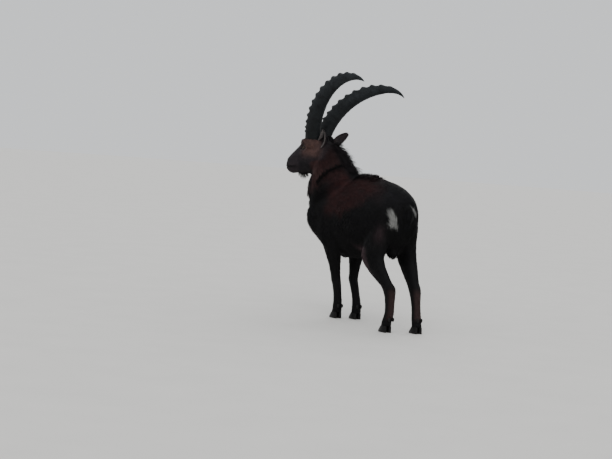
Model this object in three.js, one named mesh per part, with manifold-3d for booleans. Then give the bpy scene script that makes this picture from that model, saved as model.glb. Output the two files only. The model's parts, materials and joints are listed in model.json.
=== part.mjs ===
// A life-size alpine ibex buck standing on four hooves, its head turned to its left.
// Millimetres, +Z up. The animal faces -Y and its left side is +X.
// Every flesh form is measured to the outside of the coat.
import * as THREE from 'three';
import { mergeVertices } from 'three/addons/utils/BufferGeometryUtils.js';
import Module from 'manifold-3d';

const wasm = await Module();
wasm.setup();

// Driving dimensions
const GAP = 0.3;                  // clearance between touching pieces
const FINEST = 0.2;               // bends shallower than this are left out
const HEAD_AT = [915, 147, 1116]; // midpoint of the horn bases: forward, left, up
const HEAD_YAW = 25;              // degrees, turned to the left of the trunk
const HEAD_ROLL = 8.2;            // degrees, left side up
const TRUNK_BEND = 18;            // how far the shoulders lie to the left of the hind quarters

// Each horn along its centre line. rise: degrees from straight back at the base, turn: degrees
// from base to tip, late: share of it held back, splay: outward at base and tip, hook and tuck:
// the tip's further bend down and in.
const HORNS = {
  left: { length: 745, rise: 93.5, turn: 119, late: 0.27, splay: [14.5, 18.9], hook: 5, tuck: 3 },
  right: { length: 758, rise: 95.1, turn: 114, late: 0.17, splay: [16, 21.2], hook: 29, tuck: 18 },
};
const HOOK_FROM = 0.75;           // share of the length where the hook starts
const TUCK_FROM = 0.5;
const HORN_SUNK = 24;             // how far its core line starts below the root
const HORN_AT = [-2, 51, 4];      // the left one's root in the head's frame
const HORN_DEPTH = 104;           // front to back at the base
const HORN_WIDTH = 76;            // across at the base
const HORN_TAPER = [2.62, 0.94];  // higher and lower keep it thick for longer
const KNOB_COUNT = 13;
const KNOB_HEIGHT = 12;
const KNOB_SPAN = [0.085, 0.843]; // first and last knob as shares of the horn's length
const KNOB_SPACING = 1.26;        // above 1 sets the knobs closer together near the base

const EYE_AT = [54, 51, -44];     // the left one in the head's frame
const EYE_RADIUS = 15.5;
const LIDS = { at: [55, 69, -44], radii: [14, 14, 8.5], tilt: 0.3 };
const NOSTRIL = { at: [188, 16, -136], radii: [12, 5, 4], tilt: 0.5, slant: 0.5 };
const MOUTH_AT = [178, 0, -172];  // middle of the mouth's slot in the head's frame
const MOUTH_SIZE = [140, 110, 2.6];
const MOUTH_TILT = 0.06;
const LIP_DEPTH = 6;
const HEAD_BULGES = {             // centre, radii and tilt in the head's frame, one on each side
  jaw: { at: [-4, 34, -118], radii: [52, 30, 62], tilt: 0 },
  brow: { at: [53, 45, -43], radii: [30, 23, 23], tilt: 0 },
  pedicel: { at: [20, 40, -6], radii: [68, 44, 46], tilt: 0 },
  crown: { at: [-62, 34, 18], radii: [42, 34, 46], tilt: 0 },
  cheekbone: { at: [92, 24, -104], radii: [46, 17, 20], tilt: 0.62 },
};
const EAR_LENGTH = 160;           // with its sunk root
const EAR_SUNK = 30;
const EAR_WIDTH = 56;
const EAR_THICK = 3.4;
const EARS = {                    // root, lie and opening in the head's frame
  left: { root: [-67, 57, -28], along: [-0.35, 0.54, 0.77], opens: [0.2, 0.93, -0.1] },
  right: { root: [-84, -58, 4], along: [-0.43, -0.57, 0.71], opens: [0.5, -0.8, -0.2] },
};

const BRUSH = { tiers: 3, top: 738, drop: 30, spread: 11, length: 62, width: 26, thick: 9, sink: 9 };
const MANE = { rows: 8, length: 78, width: 34, thick: 9, spread: 21, drop: 7, sink: 18, stand: 0.36 };
const WITHERS = { rows: 8, length: 62, width: 28, thick: 8, spread: 17, drop: 5, sink: 14, stand: 0.35 };
const BEARD = { rows: 6, length: 12, swell: 10, uneven: 9, width: 23, thick: 8, sink: 8 };
const BEARD_SPAN = { front: 98, rear: 40, apart: 8, under: -190 };
const SCROTUM = { at: [146, 10, 494], radii: [54, 44, 52] };

const CORONET = 40;               // height where the claws meet the pastern
const CLAW_LENGTH = 80;
const CLAW_WIDTH = 30;
const CLEFT = 5;                  // space between the two claws of a foot
const CLAW_LEAD = 6;              // how far a claw's middle lies ahead of the pastern's
const DEWCLAW = { radii: [9, 8, 14], apart: 14, below: 8 };

const NECK_PLANE = { withers: [604, 958], breast: [985, 655] };  // forward, up
const THIGH_PLANE = { flank: [340, 500], buttock: [20, 660] };
const ELBOW = 500;
const CARPUS = 262;
const STIFLE = 425;
const HOCK = 262;

// The trunk from buttocks to breast. at: forward, side: its middle, half: half width,
// ridge and keel: above 1 draws the back or belly in to a ridge.
const TRUNK = [
  { at: 10, side: 0, top: 738, low: 660, half: 28, ridge: 1, keel: 1 },
  { at: 28, side: 0, top: 810, low: 585, half: 82, ridge: 0.85, keel: 1 },
  { at: 62, side: 0, top: 848, low: 530, half: 112, ridge: 0.85, keel: 1 },
  { at: 125, side: 0, top: 887, low: 492, half: 134, ridge: 0.95, keel: 1 },
  { at: 210, side: 0, top: 912, low: 474, half: 147, ridge: 1.05, keel: 0.95 },
  { at: 310, side: 0, top: 925, low: 452, half: 163, ridge: 1.1, keel: 0.9 },
  { at: 420, side: 0, top: 935, low: 428, half: 178, ridge: 1.15, keel: 0.9 },
  { at: 520, side: 3, top: 939, low: 410, half: 181, ridge: 1.3, keel: 0.95 },
  { at: 620, side: 9, top: 932, low: 400, half: 175, ridge: 1.5, keel: 1.1 },
  { at: 710, side: 17, top: 912, low: 400, half: 168, ridge: 1.4, keel: 1.2 },
  { at: 790, side: 28, top: 876, low: 418, half: 165, ridge: 1.1, keel: 1.3 },
  { at: 860, side: 40, top: 830, low: 463, half: 161, ridge: 0.95, keel: 1.35 },
  { at: 918, side: 48, top: 776, low: 522, half: 139, ridge: 0.95, keel: 1.3 },
  { at: 954, side: 52, top: 712, low: 590, half: 84, ridge: 1, keel: 1.1 },
  { at: 966, side: 53, top: 672, low: 612, half: 36, ridge: 1, keel: 1 },
];

// The neck by its nape and throat lines: each forward, left, up.
const NECK = [
  { nape: [585, 2, 890], throat: [920, 48, 560], half: 118 },
  { nape: [616, 8, 934], throat: [978, 78, 664], half: 148 },
  { nape: [652, 20, 966], throat: [986, 98, 748], half: 138 },
  { nape: [695, 38, 1013], throat: [966, 116, 815], half: 122 },
  { nape: [733, 54, 1063], throat: [940, 130, 872], half: 110 },
  { nape: [766, 70, 1112], throat: [918, 138, 918], half: 98 },
  { nape: [800, 90, 1142], throat: [900, 140, 960], half: 74 },
];

// Limbs as level sections: fore and aft reach from the centre, and half width.
const FORE_LIMB = [
  { up: 800, at: 690, side: 50, fore: 30, aft: 30, half: 22 },
  { up: 755, at: 700, side: 74, fore: 66, aft: 66, half: 46 },
  { up: 695, at: 722, side: 98, fore: 96, aft: 88, half: 58 },
  { up: 630, at: 738, side: 110, fore: 120, aft: 106, half: 64 },
  { up: 565, at: 728, side: 112, fore: 120, aft: 116, half: 63 },
  { up: 512, at: 700, side: 109, fore: 98, aft: 98, half: 60 },
  { up: 462, at: 674, side: 104, fore: 76, aft: 76, half: 55 },
  { up: 410, at: 664, side: 97, fore: 61, aft: 60, half: 49 },
  { up: 350, at: 660, side: 88, fore: 44, aft: 46, half: 39 },
  { up: 292, at: 658, side: 79, fore: 38, aft: 36, half: 33 },
  { up: 252, at: 660, side: 72, fore: 37, aft: 34, half: 33 },
  { up: 218, at: 657, side: 67, fore: 31, aft: 37, half: 30 },
  { up: 165, at: 654, side: 62, fore: 26, aft: 34, half: 28 },
  { up: 122, at: 652, side: 59, fore: 27, aft: 34, half: 29 },
  { up: 92, at: 652, side: 58, fore: 29, aft: 33, half: 31 },
  { up: 64, at: 654, side: 58, fore: 30, aft: 34, half: 32 },
  { up: CORONET + GAP, at: 658, side: 58, fore: 34, aft: 36, half: 34 },
];
const HIND_LIMB = [
  { up: 790, at: 140, side: 40, fore: 30, aft: 28, half: 20 },
  { up: 750, at: 146, side: 60, fore: 80, aft: 72, half: 42 },
  { up: 694, at: 152, side: 76, fore: 118, aft: 106, half: 50 },
  { up: 624, at: 158, side: 80, fore: 134, aft: 108, half: 53 },
  { up: 562, at: 166, side: 84, fore: 124, aft: 106, half: 53 },
  { up: 505, at: 172, side: 90, fore: 106, aft: 108, half: 51 },
  { up: 452, at: 152, side: 97, fore: 90, aft: 92, half: 48 },
  { up: 400, at: 118, side: 97, fore: 78, aft: 78, half: 44 },
  { up: 352, at: 85, side: 94, fore: 66, aft: 68, half: 39 },
  { up: 312, at: 58, side: 92, fore: 54, aft: 58, half: 35 },
  { up: 280, at: 34, side: 90, fore: 45, aft: 62, half: 35 },
  { up: 250, at: 15, side: 88, fore: 40, aft: 54, half: 35 },
  { up: 218, at: 3, side: 87, fore: 33, aft: 43, half: 32 },
  { up: 165, at: -10, side: 87, fore: 29, aft: 37, half: 29 },
  { up: 122, at: -19, side: 87, fore: 29, aft: 36, half: 30 },
  { up: 92, at: -24, side: 88, fore: 31, aft: 36, half: 32 },
  { up: 64, at: -30, side: 89, fore: 30, aft: 34, half: 32 },
  { up: CORONET + GAP, at: -37, side: 90, fore: 34, aft: 36, half: 34 },
];

// How each leg departs from those tables, by height: forward, outward, and longer sections
// where the shank leans further back.
const LEG_POSES = {
  fore_left: [{ up: 0, at: 0, side: 0, stretch: 0 }, { up: 900, at: 0, side: 0, stretch: 0 }],
  fore_right: [
    { up: 0, at: -54, side: 2, stretch: 0 },
    { up: 110, at: -42, side: 2, stretch: 0 },
    { up: 190, at: -14, side: 0, stretch: 0 },
    { up: 255, at: 20, side: 0, stretch: 0 },
    { up: 380, at: 36, side: 0, stretch: 0 },
    { up: 520, at: 12, side: 0, stretch: 0 },
    { up: 900, at: 0, side: 0, stretch: 0 },
  ],
  hind_left: [
    { up: 0, at: 72, side: 5, stretch: 0 },
    { up: 64, at: 56, side: 5, stretch: 0 },
    { up: 110, at: 28, side: 4, stretch: 0 },
    { up: 250, at: 10, side: 4, stretch: 2 },
    { up: 280, at: 6, side: 6, stretch: 10 },
    { up: 312, at: 25, side: 10, stretch: 20 },
    { up: 352, at: 46, side: 14, stretch: 28 },
    { up: 400, at: 58, side: 18, stretch: 30 },
    { up: 452, at: 52, side: 18, stretch: 22 },
    { up: 520, at: 26, side: 12, stretch: 6 },
    { up: 700, at: 0, side: 0, stretch: 0 },
    { up: 900, at: 0, side: 0, stretch: 0 },
  ],
  hind_right: [
    { up: 0, at: 0, side: 0, stretch: 0 },
    { up: 110, at: 0, side: 3, stretch: 0 },
    { up: 280, at: 0, side: 3, stretch: 0 },
    { up: 400, at: 0, side: 5, stretch: 2 },
    { up: 505, at: 0, side: 9, stretch: 4 },
    { up: 640, at: 0, side: 9, stretch: 4 },
    { up: 750, at: 0, side: 0, stretch: 0 },
    { up: 900, at: 0, side: 0, stretch: 0 },
  ],
};

// The head in its own frame, from the back of the skull to the nose.
const HEAD = [
  { at: -124, side: 0, top: -14, low: -84, half: 32, ridge: 1, keel: 1 },
  { at: -108, side: 0, top: 14, low: -122, half: 55, ridge: 1, keel: 1 },
  { at: -72, side: 0, top: 30, low: -160, half: 65, ridge: 1, keel: 1.1 },
  { at: -30, side: 0, top: 36, low: -188, half: 67, ridge: 0.9, keel: 1.3 },
  { at: 10, side: 0, top: 38, low: -198, half: 64, ridge: 0.85, keel: 1.4 },
  { at: 45, side: 0, top: 41, low: -198, half: 57, ridge: 0.9, keel: 1.35 },
  { at: 74, side: 0, top: 26, low: -195, half: 49, ridge: 0.9, keel: 1.2 },
  { at: 102, side: 0, top: -11, low: -194, half: 41, ridge: 0.95, keel: 1.05 },
  { at: 132, side: 0, top: -43, low: -196, half: 37, ridge: 0.95, keel: 0.95 },
  { at: 160, side: 0, top: -74, low: -200, half: 36, ridge: 0.9, keel: 0.9 },
  { at: 180, side: 0, top: -97, low: -197, half: 34, ridge: 0.85, keel: 0.9 },
  { at: 192, side: 0, top: -117, low: -187, half: 27, ridge: 0.9, keel: 0.9 },
  { at: 197, side: 0, top: -140, low: -169, half: 15, ridge: 1, keel: 1 },
];

// Colours and finishes
const COAT = { color: 0x33231c, roughness: 0.95, metalness: 0 };
const DARK_COAT = { color: 0x1b1513, roughness: 0.95, metalness: 0 };
const HORN = { color: 0x2b2622, roughness: 0.6, metalness: 0 };
const HOOF = { color: 0x121010, roughness: 0.5, metalness: 0 };
const EYE = { color: 0x1a0f08, roughness: 0.08, metalness: 0 };

const RAD = Math.PI / 180;

// Places a point given forward, left and up of the trunk's frame.
const place = (forward, left, up) => new THREE.Vector3(left, -forward, up);

// Head frame to trunk frame: turned left, then tilted.
const headPose = new THREE.Matrix4()
  .makeTranslation(...place(...HEAD_AT))
  .multiply(new THREE.Matrix4().makeRotationZ(HEAD_YAW * RAD))
  .multiply(new THREE.Matrix4().makeRotationY(-HEAD_ROLL * RAD));
const onHead = (forward, left, up) => place(forward, left, up).applyMatrix4(headPose);

// A small repeatable source of variation between 0 and 1.
function dice(seed) {
  let state = seed;
  return () => {
    state = (Math.imul(state, 1664525) + 1013904223) >>> 0;
    return state / 2 ** 32;
  };
}

// A closed body through rings of points, each ring the same number round one axis.
function loft(rings) {
  const count = rings[0].length;
  const vertices = rings.flat();
  const faces = [];
  for (let k = 0; k + 1 < rings.length; k += 1) {
    for (let i = 0; i < count; i += 1) {
      const j = (i + 1) % count;
      const [a, b, c, d] = [k * count + i, k * count + j, (k + 1) * count + j, (k + 1) * count + i];
      faces.push(a, b, c, a, c, d);
    }
  }
  for (const [k, flip] of [[0, true], [rings.length - 1, false]]) {
    const centre = new THREE.Vector3();
    rings[k].forEach((v) => centre.addScaledVector(v, 1 / count));
    const tip = vertices.push(centre) - 1;
    for (let i = 0; i < count; i += 1) {
      const [a, b] = [k * count + i, k * count + ((i + 1) % count)];
      faces.push(...(flip ? [tip, b, a] : [tip, a, b]));
    }
  }
  const geometry = new THREE.BufferGeometry();
  const flat = vertices.flatMap((v) => v.toArray());
  geometry.setAttribute('position', new THREE.Float32BufferAttribute(flat, 3));
  geometry.setIndex(faces);
  return geometry;
}

// A three.js geometry as a solid, its faces pointing out.
function solid(geometry) {
  geometry.deleteAttribute('normal');
  geometry.deleteAttribute('uv');
  const merged = mergeVertices(geometry, 1e-4);
  const vertProperties = new Float32Array(merged.attributes.position.array);
  const triVerts = new Uint32Array(merged.index.array);
  const made = new wasm.Manifold(new wasm.Mesh({ numProp: 3, vertProperties, triVerts }));
  if (made.volume() > 0) return made;
  for (let i = 0; i < triVerts.length; i += 3) {
    [triVerts[i], triVerts[i + 1]] = [triVerts[i + 1], triVerts[i]];
  }
  return new wasm.Manifold(new wasm.Mesh({ numProp: 3, vertProperties, triVerts }));
}

const join = (pieces) => pieces.reduce((whole, piece) => whole.add(piece));

// Keeps the largest closed surface of a solid, which also fills sealed hollows.
function largest(piece) {
  return piece.decompose().reduce((a, b) => (b.volume() > a.volume() ? b : a));
}

// The two sides of a plane through two points, each forward and up, with a gap between them.
function planeThrough([forwardA, upA], [forwardB, upB]) {
  const normal = new THREE.Vector2(upA - upB, forwardB - forwardA).normalize();
  const offset = normal.x * forwardA + normal.y * upA;
  return {
    above: (piece, clear = GAP / 2) => piece.trimByPlane([0, -normal.x, normal.y], offset + clear),
    below: (piece, clear = GAP / 2) => piece.trimByPlane([0, normal.x, -normal.y], clear - offset),
  };
}
const levelPlane = (up) => planeThrough([0, up], [1, up]);

// A smooth curve through the stations' numbers. t runs from 0 to the last station.
function between(stations, t) {
  const i = Math.min(Math.floor(t), stations.length - 2);
  const u = t - i;
  const pick = (n) => stations[Math.max(0, Math.min(stations.length - 1, n))];
  const [a, b, c, d] = [pick(i - 1), pick(i), pick(i + 1), pick(i + 2)];
  const curve = (p, q, r, s) => {
    if (Array.isArray(q)) return q.map((_, n) => curve(p[n], q[n], r[n], s[n]));
    return 0.5 * (2 * q + (r - p) * u + (2 * p - 5 * q + 4 * r - s) * u * u
      + (3 * q - p - 3 * r + s) * u * u * u);
  };
  return Object.fromEntries(Object.keys(b).map((key) => [key, curve(a[key], b[key], c[key], d[key])]));
}

// The rows' value of a key at a height, straight between two rows.
function atHeight(rows, up, key) {
  const n = Math.max(1, rows.findIndex((row) => row.up >= up));
  const [a, b] = [rows[n - 1], rows[n]];
  return THREE.MathUtils.mapLinear(up, a.up, b.up, a[key], b[key]);
}

const steps = (count, per) => Array.from({ length: (count - 1) * per + 1 }, (_, k) => k / per);
const round = (count) => Array.from({ length: count }, (_, i) => (2 * Math.PI * (i + 0.5)) / count);
const power = (x, n) => Math.sign(x) * Math.abs(x) ** n;

// An upright section across the trunk or head, wider or narrower above and below.
function uprightRing(s, sides, grow, put) {
  const middle = (s.top + s.low) / 2;
  const reach = (s.top - s.low) / 2 + grow;
  return round(sides).map((t) => {
    const bow = Math.cos(t) > 0 ? s.ridge : s.keel;
    return put(s.at, s.side + power(Math.sin(t), bow) * (s.half + grow), middle + Math.cos(t) * reach);
  });
}

function trunkForm(grow = 0) {
  return solid(loft(steps(TRUNK.length, 2).map((t) => uprightRing(between(TRUNK, t), 22, grow, place))));
}

function headForm(grow = 0) {
  return solid(loft(steps(HEAD.length, 2).map((t) => uprightRing(between(HEAD, t), 20, grow, onHead))));
}

function neckForm(grow = 0) {
  return solid(loft(steps(NECK.length, 2).map((t) => {
    const s = between(NECK, t);
    const nape = place(...s.nape);
    const throat = place(...s.throat);
    const middle = nape.clone().add(throat).multiplyScalar(0.5);
    const rise = nape.clone().sub(throat);
    const reach = rise.length() / 2 + grow;
    const up = rise.normalize();
    const across = new THREE.Vector3(-up.y, up.x, 0).normalize();
    return round(20).map((a) => middle.clone()
      .addScaledVector(up, Math.cos(a) * reach)
      .addScaledVector(across, power(Math.sin(a), Math.cos(a) > 0 ? 1.2 : 1) * (s.half + grow)));
  })));
}

// Where the middle of a leg is at a height: forward and left.
function legAxis(leg, s) {
  const sign = leg.endsWith('left') ? 1 : -1;
  const bend = leg.startsWith('fore') ? TRUNK_BEND * Math.min(1, s.up / ELBOW) : 0;
  const pose = LEG_POSES[leg];
  return [s.at + atHeight(pose, s.up, 'at'), sign * (s.side + atHeight(pose, s.up, 'side')) + bend];
}

// One whole leg from withers or hip to coronet.
function limbForm(leg, grow = 0) {
  const table = leg.startsWith('fore') ? FORE_LIMB : HIND_LIMB;
  return solid(loft(table.map((s) => {
    const [at, side] = legAxis(leg, s);
    const stretch = atHeight(LEG_POSES[leg], s.up, 'stretch') + grow;
    return round(14).map((t) => place(
      at + Math.cos(t) * ((Math.cos(t) > 0 ? s.fore : s.aft) + stretch),
      side + Math.sin(t) * (s.half + grow),
      s.up,
    ));
  })));
}

// A ball stretched along the three directions, in the trunk's or the head's frame.
function ball(centre, radii, put, detail = [14, 8], turn = new THREE.Euler()) {
  const geometry = new THREE.SphereGeometry(1, ...detail);
  const position = geometry.attributes.position;
  const v = new THREE.Vector3();
  for (let i = 0; i < position.count; i += 1) {
    v.fromBufferAttribute(position, i).multiply(new THREE.Vector3(...radii)).applyEuler(turn);
    const point = put(centre[0] + v.x, centre[1] + v.y, centre[2] + v.z);
    position.setXYZ(i, point.x, point.y, point.z);
  }
  return solid(geometry);
}

// The head with its jaw muscles, brows, horn pedicels, crown hair and cheekbones.
const sides = [['left', 1], ['right', -1]];
const mirror = (at, sign) => [at[0], sign * at[1], at[2]];
function headMass(grow = 0) {
  const bulges = Object.values(HEAD_BULGES).flatMap(({ at, radii, tilt }) => sides.map(([, sign]) => (
    ball(mirror(at, sign), radii.map((r) => r + grow), onHead, [12, 7], new THREE.Euler(0, tilt, 0)))));
  return join([headForm(grow), ...bulges]);
}

// The short beard: overlapping locks in two files under the chin.
function beardLocks() {
  const roll = dice(5);
  const axis = (...to) => onHead(...to).sub(onHead(0, 0, 0));
  const down = axis(0, 0, -1);
  const rear = axis(-1, 0, 0);
  return steps(BEARD.rows, 1).flatMap((k) => [-1, 1].map((row) => {
    const apart = axis(0, row, 0);
    const forward = THREE.MathUtils.lerp(BEARD_SPAN.front, BEARD_SPAN.rear, (k + roll() * 0.3) / BEARD.rows);
    const longest = Math.sin((k / (BEARD.rows - 1)) * Math.PI);
    return lock({
      root: onHead(forward, row * BEARD_SPAN.apart, BEARD_SPAN.under),
      out: rear.clone().addScaledVector(apart, 0.4).normalize(),
      from: down.clone().addScaledVector(apart, 0.15).normalize(),
      to: down.clone().addScaledVector(rear, 0.35 + roll() * 0.25).normalize(),
      length: BEARD.length + BEARD.swell * longest + BEARD.uneven * roll(),
      width: BEARD.width,
      thick: BEARD.thick,
      sink: BEARD.sink,
    });
  }));
}

// One claw of a hoof, standing on its flat sole.
const CLAW = [
  { up: 0, toe: 0.57, heel: 0.43, half: 0.5 },
  { up: 0.2, toe: 0.56, heel: 0.43, half: 0.5 },
  { up: 0.6, toe: 0.42, heel: 0.42, half: 0.48 },
  { up: 1, toe: 0.26, heel: 0.38, half: 0.44 },
];
function clawForm(at, side, splay) {
  return solid(loft(CLAW.map((s) => round(12).map((t) => {
    const reach = Math.cos(t) * (Math.cos(t) > 0 ? s.toe : s.heel) * CLAW_LENGTH;
    const narrow = 1 - 0.35 * Math.max(0, Math.cos(t)) ** 2;
    const across = Math.sin(t) * s.half * CLAW_WIDTH * narrow + splay * Math.max(0, reach) * 0.06;
    return place(at + reach, side + across, s.up * CORONET);
  }))));
}

// A horn's centre line, leaving the brow upward and curling back and outward.
function hornLine(horn, sign, pieces = 120) {
  const points = [new THREE.Vector3(HORN_AT[0], sign * HORN_AT[1], HORN_AT[2])];
  const headings = [];
  for (let k = 0; k <= pieces; k += 1) {
    const s = k / pieces;
    const hook = horn.hook * Math.max(0, (s - HOOK_FROM) / (1 - HOOK_FROM)) ** 2;
    const tuck = horn.tuck * Math.max(0, (s - TUCK_FROM) / (1 - TUCK_FROM)) ** 2;
    const rise = (horn.rise - horn.turn * (s + horn.late * (s * s - s)) - hook) * RAD;
    const splay = (THREE.MathUtils.lerp(...horn.splay, s) - tuck) * RAD;
    const heading = new THREE.Vector3(
      -Math.cos(rise) * Math.cos(splay), sign * Math.sin(splay), Math.sin(rise) * Math.cos(splay));
    headings.push(heading);
    if (k > 0) points.push(points[k - 1].clone().addScaledVector(heading, horn.length / pieces));
  }
  return (s) => {
    const x = s * pieces;
    const i = THREE.MathUtils.clamp(Math.floor(x), 0, pieces - 1);
    const point = points[i].clone().lerp(points[i + 1], x - i);
    return { point, heading: headings[Math.max(0, Math.round(x))] };
  };
}

// Where the knobs stand, closer together near the base, and the rings that shape each one.
function hornRings(length) {
  const [first, last] = KNOB_SPAN;
  const knobs = Array.from({ length: KNOB_COUNT }, (_, k) => (
    first + (last - first) * (k / (KNOB_COUNT - 1)) ** KNOB_SPACING));
  const rings = [{ s: -HORN_SUNK / length, lift: 0 }];
  knobs.forEach((s, k) => {
    const room = k > 0 ? s - knobs[k - 1] : knobs[1] - s;
    const height = KNOB_HEIGHT * Math.min(1, 0.6 + k * 0.12, (KNOB_COUNT - k) * 0.3);
    rings.push({ s: s - room * 0.38, lift: 0 }, { s: s - room * 0.06, lift: height });
    rings.push({ s: s + room * 0.3, lift: height * 0.12 });
  });
  [0.9, 0.94, 0.97, 0.988, 1].forEach((s) => rings.push({ s, lift: 0 }));
  return rings;
}

function hornForm(horn, sign) {
  const line = hornLine(horn, sign);
  const left = new THREE.Vector3(0, 1, 0);
  return solid(loft(hornRings(horn.length).map(({ s, lift }) => {
    const { point, heading } = line(s);
    const across = left.clone().addScaledVector(heading, -left.dot(heading)).normalize();
    const front = across.clone().cross(heading).normalize();
    const taper = (1 - Math.max(0, s) ** HORN_TAPER[0]) ** HORN_TAPER[1] + 0.03;
    return round(10).map((t) => {
      const brow = Math.cos(t) > 0;
      const deep = power(Math.cos(t), brow ? 0.8 : 1) * taper * HORN_DEPTH * 0.5;
      const wide = power(Math.sin(t), brow ? 0.8 : 1.15) * taper * HORN_WIDTH * 0.5;
      const knob = lift * Math.max(0, Math.cos(t)) ** 0.6 * (taper > 0.4 ? 1 : taper / 0.4);
      const p = point.clone().addScaledVector(front, deep + knob).addScaledVector(across, wide);
      return onHead(p.x, p.y, p.z);
    });
  })));
}

// An ear as a curled leaf: a tube slit open along its front, wide in the middle.
const EAR = [
  { along: 0.0, wide: 0.5, curl: 158 },
  { along: 0.14, wide: 0.66, curl: 140 },
  { along: 0.3, wide: 0.9, curl: 118 },
  { along: 0.48, wide: 1, curl: 100 },
  { along: 0.66, wide: 0.9, curl: 88 },
  { along: 0.82, wide: 0.66, curl: 78 },
  { along: 0.94, wide: 0.34, curl: 70 },
  { along: 1.0, wide: 0.12, curl: 66 },
];
function earForm(hand) {
  const root = new THREE.Vector3(...EARS[hand].root);
  const along = new THREE.Vector3(...EARS[hand].along).normalize();
  const opens = new THREE.Vector3(...EARS[hand].opens);
  const open = opens.addScaledVector(along, -opens.dot(along)).normalize();
  const across = along.clone().cross(open);
  return solid(loft(EAR.map((s) => {
    const reach = s.curl * RAD;
    const outer = (s.wide * EAR_WIDTH * 0.5) / Math.sin(Math.min(reach, Math.PI / 2));
    const thick = Math.min(EAR_THICK, outer * 0.45);
    const centre = root.clone().addScaledVector(along, s.along * EAR_LENGTH - EAR_SUNK)
      .addScaledVector(open, -7 * Math.sin(s.along * Math.PI));
    const arc = (radius, from, to) => steps(6, 1).map((k) => {
      const a = THREE.MathUtils.lerp(from, to, k / 5);
      const p = centre.clone()
        .addScaledVector(open, -Math.cos(a) * radius)
        .addScaledVector(across, Math.sin(a) * radius);
      return onHead(p.x, p.y, p.z);
    });
    return [...arc(outer, -reach, reach), ...arc(outer - thick, reach, -reach)];
  })));
}

// A flat tapered lock of hair, its root sunk in, bending from one direction to another.
function lock({ root, out, from, to, length, width, thick, sink }) {
  const points = [];
  const shape = [[0, 0.8], [0.3, 1], [0.66, 0.72], [1, 0.08]];
  let point = root.clone().addScaledVector(out, -sink);
  let last = 0;
  for (const [share, size] of shape) {
    const heading = from.clone().lerp(to, share).normalize();
    point = point.clone().addScaledVector(heading, (share - last) * (length + sink));
    last = share;
    const across = heading.clone().cross(out).normalize();
    const flat = across.clone().cross(heading).normalize();
    points.push([[1, 0], [0, 1], [-1, 0], [0, -1]].map(([a, b]) => point.clone()
      .addScaledVector(across, a * width * size * 0.5).addScaledVector(flat, b * thick * size * 0.5)));
  }
  return solid(loft(points));
}

const group = new THREE.Group();
function add(name, piece, look) {
  const mesh = largest(piece).simplify(FINEST).getMesh();
  const geometry = new THREE.BufferGeometry();
  geometry.setAttribute('position', new THREE.BufferAttribute(mesh.vertProperties, 3));
  geometry.setIndex(new THREE.BufferAttribute(mesh.triVerts, 1));
  const made = new THREE.Mesh(geometry, new THREE.MeshStandardMaterial(look));
  made.name = name;
  group.add(made);
}

// Overlapping locks in three files along a crest, lying back and standing off it by the named share.
function maneAlong(line, seed, size) {
  const roll = dice(seed);
  const locks = [];
  for (let k = 0; k < size.rows; k += 1) {
    for (const row of [-1, 0, 1]) {
      const t = (k + 0.4 + (row === 0 ? 0.45 : 0) + (roll() - 0.5) * 0.3) / (size.rows + 0.5);
      const { point, back, out, side } = line(Math.min(1, t));
      const lean = out.clone().addScaledVector(side, row * 0.55).normalize();
      const root = point.clone()
        .addScaledVector(side, row * size.spread)
        .addScaledVector(out, -Math.abs(row) * size.drop);
      locks.push(lock({
        root,
        out: lean,
        from: back.clone().addScaledVector(lean, size.stand * 1.6 + roll() * 0.3).normalize(),
        to: back.clone().addScaledVector(lean, size.stand * 0.3 + roll() * 0.3).normalize(),
        length: size.length * (0.8 + roll() * 0.4),
        width: size.width * (0.85 + roll() * 0.3),
        thick: size.thick,
        sink: size.sink,
      }));
    }
  }
  return locks;
}

// A crest from one point to the next one back: its place, lie, outward and sideways directions.
function crestAt(point, next, rise) {
  const back = next.clone().sub(point).normalize();
  const side = rise.clone().cross(back).normalize();
  const out = back.clone().cross(side).normalize();
  return { point, back, side, out };
}
const napeLine = (t) => {
  const k = THREE.MathUtils.lerp(5.1, 1.6, t);
  const here = between(NECK, k);
  const point = place(...here.nape);
  return crestAt(point, place(...between(NECK, k - 0.1).nape), point.clone().sub(place(...here.throat)));
};
const backLine = (t) => {
  const k = THREE.MathUtils.lerp(8.4, 5.2, t);
  const [here, next] = [between(TRUNK, k), between(TRUNK, k - 0.1)];
  return crestAt(place(here.at, here.side, here.top), place(next.at, next.side, next.top),
    new THREE.Vector3(0, 0, 1));
};

// The tail: a fleshy root bending down from the rump and a flat brush of locks.
const TAIL = [
  { at: 46, up: 780, thick: 24, half: 17 },
  { at: 20, up: 776, thick: 26, half: 21 },
  { at: -2, up: 756, thick: 24, half: 24 },
  { at: -11, up: 718, thick: 18, half: 23 },
  { at: -13, up: 678, thick: 13, half: 16 },
  { at: -12, up: 650, thick: 5, half: 6 },
];
function tailForm() {
  const rings = TAIL.map((s, n) => {
    const [before, after] = [TAIL[Math.max(0, n - 1)], TAIL[Math.min(TAIL.length - 1, n + 1)]];
    const heading = place(after.at - before.at, 0, after.up - before.up).normalize();
    const flat = new THREE.Vector3(1, 0, 0).cross(heading).normalize();
    return round(10).map((t) => place(s.at, 0, s.up)
      .addScaledVector(flat, Math.cos(t) * s.thick * 0.8)
      .add(new THREE.Vector3(Math.sin(t) * s.half, 0, 0)));
  });
  const roll = dice(31);
  const locks = [];
  for (let tier = 0; tier < BRUSH.tiers; tier += 1) {
    for (const across of [-1, 0, 1]) {
      locks.push(lock({
        root: place(-21 + Math.abs(across) * 9, across * BRUSH.spread, BRUSH.top - tier * BRUSH.drop),
        out: place(-1, across * 0.6, 0).normalize(),
        from: place(-0.35, across * 0.3, -1).normalize(),
        to: place(-0.02, across * (0.1 + roll() * 0.1), -1).normalize(),
        length: BRUSH.length * (1 + roll() * 0.25),
        width: BRUSH.width,
        thick: BRUSH.thick,
        sink: BRUSH.sink,
      }));
    }
  }
  return join([solid(loft(rings)), ...locks]);
}

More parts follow.
